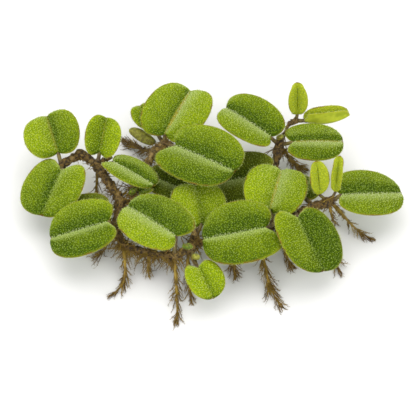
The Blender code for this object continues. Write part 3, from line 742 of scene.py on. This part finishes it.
def threads(paths, widths, flatness):
    """Many three-sided threads at once, each along its own path to a point."""
    count, steps, _ = paths.shape
    widths = np.broadcast_to(widths, (count, steps))
    along = unit(np.gradient(paths, axis=1))
    upright = np.abs(along[:, :1, 2:]) > 0.9
    aside = unit(np.cross(along, np.where(upright, (1.0, 0.0, 0.0), (0.0, 0.0, 1.0))))
    upward = np.cross(along, aside)
    sides = THREAD_SIDES
    angles = 2 * np.pi * np.arange(sides) / sides
    aside, upward = aside[:, :-1, None], upward[:, :-1, None]
    ring = np.cos(angles)[:, None] * aside + flatness * np.sin(angles)[:, None] * upward
    rings = paths[:, :-1, None] + widths[:, :-1, None, None] / 2 * ring
    points = np.concatenate([rings.reshape(count, sides * (steps - 1), 3), paths[:, -1:]], axis=1)
    each = points.shape[1]
    starts = each * np.arange(count)[:, None, None]
    neighbours = [(side, (side + 1) % sides) for side in range(sides)]
    last = sides * (steps - 2)
    triangles = [(last + side, last + following, each - 1) for side, following in neighbours] + [(2, 1, 0)]
    blocks = [(starts + np.array(triangles)).reshape(-1, 3)]
    if steps > 2:
        quads = [
            (row + side, row + following, row + sides + following, row + sides + side)
            for row in range(0, last, sides) for side, following in neighbours
        ]
        blocks.append((starts + np.array(quads)).reshape(-1, 4))
    return points.reshape(-1, 3), blocks


def curve_through(route, step):
    """Points about one step apart on a smooth curve through the route's rows."""
    route = np.array(route, float)
    padded = np.vstack([route[:1], route, route[-1:]])
    smooth = []
    for before, start, end, after in zip(padded, padded[1:], padded[2:], padded[3:]):
        count = max(2, round(np.linalg.norm((end - start)[:3]) / step))
        s = np.arange(count)[:, None] / count
        smooth.append((
            (-s + 2 * s**2 - s**3) * before + (2 - 5 * s**2 + 3 * s**3) * start
            + (s + 4 * s**2 - 3 * s**3) * end + (s**3 - s**2) * after
        ) / 2)
    return np.vstack(smooth + [route[-1:]])


def tube_frame(path):
    """The way along a path, and two ways across it that don't twist."""
    along = unit(np.gradient(path, axis=0))
    aside = np.empty_like(along)
    start = (0.0, 0.0, 1.0) if abs(along[0, 2]) < 0.9 else (1.0, 0.0, 0.0)
    across = np.cross(along[0], start)
    for index, way in enumerate(along):
        across = across - way * (across @ way)
        across = across / np.linalg.norm(across)
        aside[index] = across
    return along, aside, np.cross(along, aside)


def ring_faces(rings, sides):
    """The quads between rings of points, and a cap at each end."""
    corner = sides * np.arange(rings - 1)[:, None] + np.arange(sides)
    following = sides * np.arange(rings - 1)[:, None] + (np.arange(sides) + 1) % sides
    quads = np.stack([corner, following, following + sides, corner + sides], axis=-1).reshape(-1, 4)
    return [quads, np.arange(sides)[None, ::-1], (rings - 1) * sides + np.arange(sides)[None]]


def tube(path, widths, sides, relief=None):
    """A round closed tube along a path. relief gives each point's own share of the half width."""
    _, aside, upward = tube_frame(path)
    angles = 2 * np.pi * np.arange(sides) / sides
    ways = np.cos(angles)[:, None] * aside[:, None] + np.sin(angles)[:, None] * upward[:, None]
    half = np.broadcast_to(np.asarray(widths)[:, None, None] / 2, (len(path), sides, 1))
    if relief is not None:
        half = half * relief(path, angles, ways, half)[..., None]
    return path[:, None] + half * ways, ring_faces(len(path), sides)


def ripple(leaf, share, across):
    """How far the blade's surface waves up and down, most at its rim."""
    phases = random.Random(leaf.name)
    height = 0
    for turns, slant in ((3, 2.0), (5, -3.0), (2, 4.0), (9, 1.0)):
        height = height + np.sin(turns * np.pi * share + slant * across + phases.uniform(0, 6.3)) / turns
    return RIPPLE * leaf.width / 16 * height * np.abs(across)


def blade_middle(leaf, share, across):
    """Points of the blade's middle surface in its own frame, as its solid has them, with its waves."""
    swing = np.sin(np.pi * share)
    half_width = leaf.width / 2 * swing**LOBE_ROUNDNESS
    half_width = np.maximum(half_width, PETIOLE_HALF_WIDTH + (TIP_HALF_WIDTH - PETIOLE_HALF_WIDTH) * share)
    tip, ear = np.where(across > 0, *leaf.tips), np.where(across > 0, *leaf.ears)
    reach = across**2 * leaf.length * 4 * swing * (tip * share**3 - ear * (1 - share) ** 3)
    bend = math.radians(leaf.bend)
    droop = bend * (1 - np.cos(np.pi * share)) / 2
    opening = np.minimum(1, half_width / FOLD_FULL_HALF_WIDTH)
    fold, ease = math.radians(leaf.fold) * opening, math.radians(leaf.ease) * opening
    slope = fold - ease * np.abs(across)
    aside = half_width * (np.sin(fold) - np.sin(slope)) / ease
    lift = half_width * (np.cos(slope) - np.cos(fold)) / ease + ripple(leaf, share, across)
    return np.stack([
        np.sin(droop) * leaf.length / bend + np.cos(droop) * reach + np.sin(droop) * lift,
        np.copysign(aside, across),
        (np.cos(droop) - 1) * leaf.length / bend - np.sin(droop) * reach + np.cos(droop) * lift,
    ], axis=-1)


def blade_surface(leaf, share, across):
    """Points of the blade's middle surface, and which way is up from it."""
    nudge = 0.012
    before, after = np.clip(share - nudge, 0, 1), np.clip(share + nudge, 0, 1)
    right, left = np.clip(across - nudge, -1, 1), np.clip(across + nudge, -1, 1)
    forward = blade_middle(leaf, after, across) - blade_middle(leaf, before, across)
    aside = blade_middle(leaf, share, left) - blade_middle(leaf, share, right)
    upward = unit(np.cross(forward, aside))
    upward = np.where(upward[..., 2:] < 0.15, (0.0, 0.0, 1.0), upward)
    return blade_middle(leaf, share, across), upward


def tone_and_painted_light(leaf, share, across, facing_key_light):
    """How pale the blade is painted: each lobe's own tone, partly painted light and shade, with more of it by
    slope.
    """
    from_rib = across * half_width_at(leaf, share)
    # Each lobe's own tone, which is partly its own green and partly painted light and shade
    left, right = leaf.fresh
    fresh = (left + right) / 2 + (left - right) / 2 * np.tanh(from_rib / LOBE_BLEND)
    # Slopes facing the key lamp's side are painted paler: painted light
    fresh = fresh + SLOPE_PAINTED_LIGHT * facing_key_light
    # Painted shade beside the crease, on slopes turned away from the key lamp's side
    crease_shade = np.exp(-(from_rib / CREASE_SHADE_WIDTH) ** 2) * np.clip(0.4 - 4 * facing_key_light, 0, 1)
    # Takes off the painted shade by the crease, and paints the rims paler: a painted highlight
    return fresh - CREASE_SHADE_DEPTH * crease_shade + RIM_PAINTED_HIGHLIGHT * np.abs(across) ** 3


def felt_and_painted_highlight(leaf, share, across, facing_key_light):
    """How dense the pale felted band beside the crease is, painted only on the slope facing the key lamp:
    partly a painted highlight.
    """
    from_rib = np.abs(across) * half_width_at(leaf, share)
    return np.exp(-(from_rib / FELT_AND_HIGHLIGHT_WIDTH) ** 2) * np.clip(facing_key_light * 5, 0, 1)


def half_width_at(leaf, share):
    return leaf.width / 2 * np.sin(np.pi * share) ** LOBE_ROUNDNESS


def puff(leaf, share, across):
    """How far the upper side stands above the middle surface: pillowed lobes, a crease and a thin rim."""
    from_rib = np.abs(across) * np.maximum(half_width_at(leaf, share), 0.3)
    pillow = (1 - np.exp(-(from_rib / CREASE_WIDTH) ** 1.3)) * (1 - np.abs(across) ** 4)
    opening = np.minimum(1, half_width_at(leaf, share) / FOLD_FULL_HALF_WIDTH)
    hollow = np.sqrt(from_rib**2 + CREASE_ROUNDING**2) - from_rib
    rounding = hollow * np.minimum(np.tan(math.radians(leaf.fold) * opening), 0.6) * opening
    return RIM_THICKNESS / 2 + LOBE_PUFF * min(1, leaf.width / 14) * pillow + rounding


def add_blade(growth, leaf, where):
    """The blade with its keel, closed round its rim."""
    share = np.linspace(0, 1, BLADE_ROWS + 1)[:, None]
    across = np.linspace(-1, 1, 2 * LOBE_COLUMNS + 1)[None]
    across = np.sign(across) * np.abs(across) ** 0.85
    share, across = np.broadcast_arrays(share, across)
    middle, upward = blade_surface(leaf, share, across)
    width = np.maximum(half_width_at(leaf, share), 0.3)
    from_rib = np.abs(across) * width
    from_rim = (1 - np.abs(across)) * width
    keel = KEEL_DEPTH * np.exp(-(from_rib / 0.55) ** 2) * np.sin(np.pi * share) ** 0.5
    under = RIM_THICKNESS / 2 + UNDER_DEPTH * (1 - np.abs(across) ** 6) + keel
    top = middle + upward * puff(leaf, share, across)[..., None]
    bottom = middle - upward * under[..., None]

    rows, wide = share.shape
    near = (wide * np.arange(rows - 1)[:, None] + np.arange(wide - 1)).ravel()
    upper = np.stack([near, near + wide, near + wide + 1, near + 1], axis=1)
    below = rows * wide
    side = wide * np.arange(rows - 1)
    end = np.arange(wide - 1)
    left, tip = side + wide - 1, end + (rows - 1) * wide
    rim = np.concatenate([
        np.stack([side + below, side + wide + below, side + wide, side], axis=1),
        np.stack([left, left + wide, left + wide + below, left + below], axis=1),
        np.stack([end, end + 1, end + 1 + below, end + below], axis=1),
        np.stack([tip + below, tip + 1 + below, tip + 1, tip], axis=1),
    ])
    # How much each point of the upper side faces the key lamp's side; the marks below paint light and shade
    # by it
    across_way = np.gradient(turned(where, top), axis=1)
    along_way = np.gradient(turned(where, top), axis=0)
    facing_key_light = unit(np.cross(along_way, across_way)) @ np.array(KEY_LIGHT_SIDE)
    marks = {
        "fresh": tone_and_painted_light(leaf, share, across, facing_key_light),
        "rim": np.exp(-(from_rim / 0.28) ** 2),
        "edge": np.exp(-(from_rim / 0.15) ** 2),
        "rib": np.exp(-(from_rib / 0.16) ** 4) * RIB_LINES.get(leaf.name, 0.0),
        "felt": felt_and_painted_highlight(leaf, share, across, facing_key_light),
        "notch": np.exp(-(((1 - share) * leaf.length) ** 2 + from_rib**2) / 0.7),
    }
    both = {mark: np.stack([values, values]).ravel() for mark, values in marks.items()}
    points = moved(where, np.stack([top, bottom]).reshape(-1, 3))
    growth.add(points, [upper, rim], 0, **both)
    growth.blocks.append((upper[:, ::-1] + below + growth.count - len(points), 1))


def add_petiole(growth, leaf, where):
    """The short stalk from the rhizome to the blade, which runs on into the keel."""
    foot = spot(NODES[leaf.node])
    share = np.array([0.0, 0.1, 0.22])
    under, upward = blade_surface(leaf, share, np.zeros(3))
    under = moved(where, under) - turned(where, upward) * np.array([[0.1], [0.3], [0.22]])
    bend = (foot + under[0]) / 2 - np.array((0, 0, 0.15))
    widths = np.array([1.3, 1.05, 0.95, 0.7, 0.2])
    route = np.column_stack([np.vstack([foot, bend, under]), widths * min(1, leaf.width / 12 + 0.3)])
    path = curve_through(route, 0.3)
    points, blocks = tube(path[:, :3], path[:, 3], 10)
    growth.add(points, blocks, 2)


def whisk_places(leaf, chance):
    """Where whisks stand: loose rows that leave the midrib and sweep towards the tip."""
    spacing = WHISK_SPACING / leaf.hairs**0.5
    rows = round(leaf.length * (1 + VEIN_SWEEP) / spacing)
    widest = leaf.width / 2
    count = round(widest / spacing)
    shares, acrosses = [], []
    for row in range(rows):
        start = (row + 0.5) / rows * (1 + VEIN_SWEEP) - VEIN_SWEEP
        for lobe in (-1, 1):
            for place_in_row in range(count):
                out = (place_in_row + 0.1 + 0.9 * chance.random()) / count
                along = start + VEIN_SWEEP * out**1.3 + chance.uniform(-0.45, 0.45) / rows
                if not 0.012 < along < 0.988:
                    continue
                share = math.acos(1 - 2 * along) / math.pi
                across = out * widest / max(half_width_at(leaf, share), 0.4)
                if across < 0.975:
                    shares.append(share)
                    acrosses.append(lobe * across)
    return np.array(shares), np.array(acrosses)


def add_whisks(growth, leaf, where, chance):
    """Hairs of the upper side: each a short stalk with four arms that bow out and meet at their tips."""
    share, across = whisk_places(leaf, chance)
    middle, upward = blade_surface(leaf, share, across)
    foot = moved(where, middle + upward * puff(leaf, share, across)[:, None])
    upright = turned(where, upward)
    count = len(foot)
    wild = np.random.default_rng(chance.randrange(10**6))
    upward = unit(upright + wild.normal(0, WHISK_LEAN, (count, 3)))
    aside = unit(np.cross(upward, wild.normal(0, 1, (count, 3))))
    other = np.cross(upward, aside)
    from_rib = np.abs(across) * half_width_at(leaf, share)
    height = WHISK_HEIGHT * wild.uniform(0.6, 1.2, count)
    height = height * (0.6 + 0.4 * np.minimum(1, (1 - np.abs(across)) / 0.2))
    height = height * (1 + 0.3 * np.exp(-(from_rib / 2) ** 2)) * min(1, 0.4 + leaf.width / 26)
    height = height[:, None]
    stalk = np.stack([foot - upward * 0.05, foot + upward * height * 0.4], axis=1)
    growth.add_threads(stalk, (STALK_WIDTH, 0))
    # The whisks take the painted light and shade of the blade under them
    facing_key_light = upright @ np.array(KEY_LIGHT_SIDE)
    fresh, felt = tone_and_painted_light(leaf, share, across, facing_key_light), felt_and_painted_highlight(leaf, share, across, facing_key_light)
    for arm in range(WHISK_ARMS):
        angle = 2 * np.pi * arm / WHISK_ARMS
        out = math.cos(angle) * aside + math.sin(angle) * other
        path = np.stack([
            foot + upward * height * 0.15,
            foot + upward * height * 0.6 + out * height * WHISK_BULGE,
            foot + upward * height + out * height * 0.08,
        ], axis=1)
        growth.add_threads(path, (0.05, ARM_WIDTH, 0), 1, fresh=fresh, felt=felt)


def add_rim_hairs(growth, leaf, where, chance):
    """Fine short hairs that stand out round the blade's rim."""
    shares = np.linspace(0.02, 0.98, 400)
    for lobe in (-1.0, 1.0):
        outline = blade_middle(leaf, shares, np.full_like(shares, lobe))
        lengths = np.r_[0, np.cumsum(np.linalg.norm(np.diff(outline, axis=0), axis=1))]
        count = int(lengths[-1] / RIM_HAIR_SPACING)
        wild = np.random.default_rng(chance.randrange(10**6))
        where_on = np.sort(wild.uniform(0, lengths[-1], count))
        share = np.interp(where_on, lengths, shares)
        across = np.full_like(share, lobe)
        point, upward = blade_surface(leaf, share, across)
        inside = blade_middle(leaf, share, across * 0.9)
        out = unit(point - inside)
        lean = unit(out + upward * wild.uniform(-0.2, 0.9, (count, 1)) + wild.normal(0, 0.25, (count, 3)))
        length = RIM_HAIR_LENGTH * wild.uniform(0.5, 1.2, (count, 1))
        path = np.stack([point, point + lean * length * 0.5, point + (lean + upward * 0.3) * length], axis=1)
        path = moved(where, path.reshape(-1, 3)).reshape(path.shape)
        growth.add_threads(path, (0.06, 0.05, 0), 1, fresh=0.5, felt=0.3)


def make_leaf(leaf, slot, finishes):
    where = place(leaf.base, leaf.heading, leaf.pitch, leaf.roll)
    chance = random.Random(leaf.name + "_hairs")
    blade, hairs = Growth(), Growth()
    add_blade(blade, leaf, where)
    add_petiole(blade, leaf, where)
    add_whisks(hairs, leaf, where, chance)
    add_rim_hairs(hairs, leaf, where, chance)
    sides = [finishes[leaf.tint, "blade"], finishes[leaf.tint, "underside"], finishes["petiole"]]
    blade.make(f"{leaf.name}_blade", slot, sides, [leaf.name])
    hairs.make(f"{leaf.name}_hairs", slot, [finishes["stalk"], finishes["hair"]])


def knobbly(depth, size, seed):
    """Relief of knobs, wrinkles and lengthwise fibres for a rhizome's skin."""
    shift = Vector((seed * 7.3, seed * 3.1, 0))

    def relief(path, angles, ways, half):
        shares = np.empty(half.shape[:2])
        skin = path[:, None] + half * ways
        for index in np.ndindex(shares.shape):
            point = Vector(skin[index])
            knob = noise.noise(point / size + shift)
            wrinkle = noise.noise(point / (size * 0.36) - shift)
            fibre = math.sin(5 * angles[index[1]] + 3 * noise.noise(point / 2.5))
            shares[index] = 1 + depth * (1.3 * knob + 0.6 * wrinkle + 0.12 * fibre)
        return shares

    return relief


def scatter_round(path, widths, count, wild, bunched):
    """Random points on a tube's skin, some of them bunched near given points, with the ways out and along."""
    along, aside, upward = tube_frame(path)
    index = wild.integers(0, len(path), count)
    for centre in bunched:
        near = np.argsort(np.linalg.norm(path - centre, axis=1))[:6]
        index = np.r_[index, wild.choice(near, SCALES_AT_NODE)]
    angle = wild.uniform(0, 2 * np.pi, len(index))
    out = np.cos(angle)[:, None] * aside[index] + np.sin(angle)[:, None] * upward[index]
    return path[index] + out * widths[index, None] * 0.42, out, along[index]


def add_sprays(growth, finish, wild, feet, ways, lengths, ages):
    """Branches like fir twigs: each tapers, sags, stays above the surface and is bristly all along."""
    count = len(feet)
    lengths = lengths[:, None]
    steps = np.linspace(0, 1, SPRAY_POINTS)[:, None, None]
    sway = wild.normal(0, 0.16, (count, 3)) - np.array((0, 0, 0.12))
    wiggle = wild.normal(0, 0.07, (SPRAY_POINTS, count, 3)) * np.minimum(steps * 3, 1)
    paths = np.moveaxis(feet + ways * lengths * steps + sway * lengths * steps**2 + wiggle, 0, 1)
    paths[..., 2] = np.maximum(paths[..., 2], LOWEST_THREAD * (1 + wild.random((count, 1))))
    taper = 1 - 0.65 * np.linspace(0, 1, SPRAY_POINTS)
    widths = SPRAY_WIDTH * taper * wild.uniform(0.7, 1.2, (count, 1))
    growth.add_threads(paths, widths, finish, age=ages)

    spray = np.repeat(np.arange(count), BRISTLES)
    many = len(spray)
    position = np.tile((np.arange(BRISTLES) + 1) / BRISTLES, count) * 0.9 + wild.uniform(0, 0.1, many)
    position = position * (SPRAY_POINTS - 1)
    segment = np.minimum(position.astype(int), SPRAY_POINTS - 2)
    rest = (position - segment)[:, None]
    first, second = paths[spray, segment], paths[spray, segment + 1]
    foot = first + (second - first) * rest
    forward = unit(second - first)
    lean = unit(forward + 0.9 * unit(np.cross(forward, wild.normal(0, 1, (many, 3)))))
    tip = foot + lean * BRISTLE_LENGTH * wild.uniform(0.4, 1.2, (many, 1)) * np.minimum(1, lengths[spray] / 3)
    tip[:, 2] = np.maximum(tip[:, 2], LOWEST_THREAD)
    ages = np.clip(ages[spray] + wild.normal(0.1, 0.15, many), 0, 1)
    growth.add_threads(np.stack([foot, tip], axis=1), (BRISTLE_WIDTH, 0), finish, age=ages)


def make_rhizome(stem, slot, finishes, seed):
    """A knobbly stem with small dry scales on it, most at its nodes, and bristly rootlets below."""
    wild = np.random.default_rng(seed + 40)
    route = [np.array(point, float) for point in stem.route]
    if stem.start:
        route.insert(0, np.array([*NODES[stem.start][:3], route[0][3]]))
    if stem.end:
        route.append(np.array([*NODES[stem.end][:3], route[-1][3]]))
    route = np.array(route)
    route[:, :2] -= CLUMP_MIDDLE
    path = curve_through(route, BARK_STEP)
    centre, widths = path[:, :3], path[:, 3]
    widths = widths * (1.08 + 0.1 * np.sin(np.arange(len(widths)) * 0.9 + seed))
    growth = Growth()
    points, blocks = tube(centre, widths, BARK_SIDES, knobbly(KNOB_DEPTH, KNOB_SIZE, seed))
    growth.add(points, blocks, 0)

    knots = [spot(node) for node in NODES.values() if np.linalg.norm(centre - spot(node), axis=1).min() < 0.5]
    foot, out, along = scatter_round(centre, widths, int(len(centre) * 0.5), wild, knots)
    count = len(foot)
    sense = np.where(wild.random((count, 1)) < 0.5, 1.0, -1.0)
    lean = unit(out * wild.uniform(0.15, 0.7, (count, 1)) + along * sense + wild.normal(0, 0.25, (count, 3)))
    length = wild.uniform(0.5, 1.2, (count, 1))
    flaps = np.stack([
        foot, foot + lean * length * 0.4 + out * 0.06, foot + lean * length * 0.8 + out * 0.04,
        foot + lean * length,
    ], axis=1)
    growth.add_threads(flaps, (0.25, 0.5, 0.3, 0), 1, 0.35)

    first, last = ROOTLETS.get(stem.name, ROOTLETS_ELSEWHERE)
    density = np.linspace(first, last, len(centre)) * BARK_STEP
    golden = np.zeros(len(centre))
    for knot in knots:
        near = np.argsort(np.linalg.norm(centre - knot, axis=1))[:8]
        density[near] *= 1.8
        golden[near] = 0.3
    index = np.repeat(np.arange(len(centre)), wild.poisson(density))
    count = len(index)
    ways = unit(wild.normal(0, 0.85, (count, 3)) + np.array((0, -0.1, -0.5)))
    foot = centre[index] + ways * widths[index, None] * 0.3
    lengths = wild.uniform(0.8, 1.0, count) * wild.choice(ROOTLET_LENGTHS, count)
    ages = np.clip(wild.normal(0.7, 0.3, count) - golden[index], 0, 1)
    add_sprays(growth, 2, wild, foot, ways, lengths, ages)
    skins = [finishes[stem.tint], finishes["scale"], finishes["tassel"]]
    growth.make(f"{stem.name}_bark", slot, skins, [stem.name])


def make_bud(bud, slot, finishes):
    """A bud of wrapped young leaves: egg-shaped and furrowed along its length, with short hairs."""
    length, width, height = bud.size
    turn = np.pi * (np.arange(BUD_RINGS) + 0.5)[:, None] / BUD_RINGS
    angle = 2 * np.pi * np.arange(BUD_SIDES) / BUD_SIDES
    furrow = 1 - FURROW_DEPTH * np.abs(np.sin(1.5 * angle + 1.2 * np.cos(turn))) ** 3
    points = np.stack([
        np.broadcast_to(-length / 2 * np.cos(turn), (BUD_RINGS, BUD_SIDES)),
        width / 2 * np.sin(turn) ** 0.8 * np.cos(angle) * furrow,
        height / 2 * np.sin(turn) ** 0.8 * np.sin(angle) * furrow,
    ], axis=-1)
    where = place(bud.middle, bud.heading, bud.pitch)
    growth = Growth()
    skin = moved(where, points.reshape(-1, 3))
    growth.add(skin, ring_faces(BUD_RINGS, BUD_SIDES))
    wild = np.random.default_rng(len(bud.name))
    foot = skin[wild.choice(len(skin), BUD_HAIRS)]
    out = unit(foot - np.array(where.translation))
    tip = foot + out * wild.uniform(0.12, 0.3, (BUD_HAIRS, 1)) + wild.normal(0, 0.05, (BUD_HAIRS, 3))
    growth.add_threads(np.stack([foot, tip], axis=1), (0.06, 0), 1, fresh=0.5)
    growth.make(f"{bud.name}_scales", slot, [finishes[bud.tint, "bud"], finishes["hair"]], [bud.name])


def make_tassel(tassel, slot, finishes, seed):
    """A submerged leaf: an olive axis with bristly branches on all sides, which point towards its tip."""
    wild = np.random.default_rng(seed)
    start = NODES[tassel.node]
    route = np.array([(*start[:3], tassel.route[0][3] * 0.7), *tassel.route])
    route[:, :2] -= CLUMP_MIDDLE
    path = curve_through(route, 0.25)
    centre, spread = path[:, :3], path[:, 3]
    centre[:, 2] = np.maximum(centre[:, 2], 0.3)
    share = np.linspace(0, 1, len(path))
    growth = Growth()
    points, blocks = tube(centre, 1.0 - 0.85 * share, AXIS_SIDES, knobbly(0.14, 0.6, seed))
    growth.add(points, blocks, 0, age=np.repeat(share**2 * 0.9, AXIS_SIDES))

    length = np.linalg.norm(np.diff(centre, axis=0), axis=1).sum()
    count = int(length / SPRAY_SPACING * tassel.fullness)
    begins = np.sort(wild.uniform(0.02, 0.97, count))
    index = (begins * (len(centre) - 1)).astype(int)
    along, aside, upward = tube_frame(centre)
    angle = np.where(wild.random(count) < 0.5, 0, np.pi) + wild.normal(0, 0.8, count)
    out = np.cos(angle)[:, None] * aside[index] + np.sin(angle)[:, None] * upward[index]
    lean = np.radians(wild.uniform(18, 46, count)) * (1 - 0.65 * begins**3)
    ways = along[index] * np.cos(lean)[:, None] + out * np.sin(lean)[:, None]
    lengths = np.maximum(spread[index] / 2, 1.1) / np.sin(lean) * wild.uniform(0.6, 1.2, count)
    lengths = np.minimum(np.minimum(lengths, (1 - begins) * length + 0.4), 4.2)
    kept = wild.random(count) > 0.85 * begins**3
    index, ways, lengths, begins = index[kept], ways[kept], lengths[kept], begins[kept]
    count = len(index)
    ages = np.clip(0.35 + 0.45 * begins + wild.normal(0, 0.4, count), 0, 1)
    add_sprays(growth, 0, wild, centre[index], ways, lengths, ages)
    growth.make(f"{tassel.name}_threads", slot, [finishes["tassel"]], [tassel.name])


def make_finishes():
    """Every material, by name."""
    finishes = {
        "petiole": petiole_finish(),
        "stalk": plain_finish("hair_stalk", HAIR_STALKS),
        "hair": hair_finish(),
        "scale": plain_finish("dry_scale", DRY_SCALES),
        "bark": bark_finish("brown_bark", BROWN_BARK, 0.45),
        "tan": bark_finish("papery_bark", TAN_BARK, 0.65),
        "tassel": tassel_finish(),
    }
    for tint in sorted({leaf.tint for leaf in LEAVES}):
        finishes[tint, "blade"] = blade_finish(tint)
        finishes[tint, "underside"] = underside_finish(tint)
    for tint in sorted({bud.tint for bud in BUDS}):
        finishes[tint, "bud"] = bud_finish(tint)
    return finishes


def add_floor():
    """A pale surface that the clump lies on."""
    size = FLOOR_HALF_SIZE
    corners = [(-size, -size, 0), (size, -size, 0), (size, size, 0), (-size, size, 0)]
    mesh = bpy.data.meshes.new("floor")
    mesh.from_pydata(corners, [], [(0, 1, 2, 3)])
    finish = Finish("pale_floor", {"Roughness": 0.9, "Specular IOR Level": 0.1})
    mesh.materials.append(finish.paint(opaque(FLOOR_COLOUR)))
    floor = bpy.data.objects.new("floor", mesh)
    floor.location.z = -FLOOR_DROP * MM
    bpy.context.collection.objects.link(floor)


def add_light(name, azimuth, elevation, distance, size, power, colour):
    """A soft square lamp that shines at the clump."""
    lamp = bpy.data.lights.new(name, "AREA")
    lamp.size = size
    lamp.energy = power
    lamp.color = colour
    light = bpy.data.objects.new(name, lamp)
    turn, rise = math.radians(azimuth), math.radians(elevation)
    way = Vector((math.sin(turn) * math.cos(rise), -math.cos(turn) * math.cos(rise), math.sin(rise)))
    light.location = way * distance
    light.rotation_euler = way.to_track_quat("Z", "Y").to_euler()
    bpy.context.collection.objects.link(light)


def add_daylight(strength):
    """Even light from all round."""
    world = bpy.data.worlds.new("daylight")
    world.use_nodes = True
    background = world.node_tree.nodes["Background"]
    background.inputs["Color"].default_value = (1.0, 1.0, 1.0, 1)
    background.inputs["Strength"].default_value = strength
    bpy.context.scene.world = world


def add_camera():
    """A camera where the photograph was taken from."""
    target = Vector(LOOKED_AT) * MM
    rise = math.radians(CAMERA_ELEVATION)
    way = Vector((0, -math.cos(rise), math.sin(rise)))
    data = bpy.data.cameras.new("camera")
    data.sensor_fit = "HORIZONTAL"
    data.angle = 2 * math.atan(VIEW_WIDTH / 2 / CAMERA_DISTANCE)
    data.clip_start = 0.01
    camera = bpy.data.objects.new("camera", data)
    camera.location = target + way * CAMERA_DISTANCE * MM
    camera.rotation_euler = way.to_track_quat("Z", "Y").to_euler()
    bpy.context.collection.objects.link(camera)
    bpy.context.scene.camera = camera


def main():
    slots = {entry["node"]: entry["material_slot"] for entry in frame["record"]["subparts"]}
    finishes = make_finishes()
    for leaf in LEAVES:
        make_leaf(leaf, slots[leaf.name], finishes)
    for seed, stem in enumerate(RHIZOMES):
        make_rhizome(stem, slots[stem.name], finishes, seed)
    for bud in BUDS:
        make_bud(bud, slots[bud.name], finishes)
    for seed, tassel in enumerate(TASSELS):
        make_tassel(tassel, slots[tassel.name], finishes, seed)
    add_floor()
    add_daylight(DAYLIGHT)
    for lamp in LAMPS:
        add_light(*lamp)
    add_camera()
    bpy.context.scene.view_settings.view_transform = "Standard"


main()
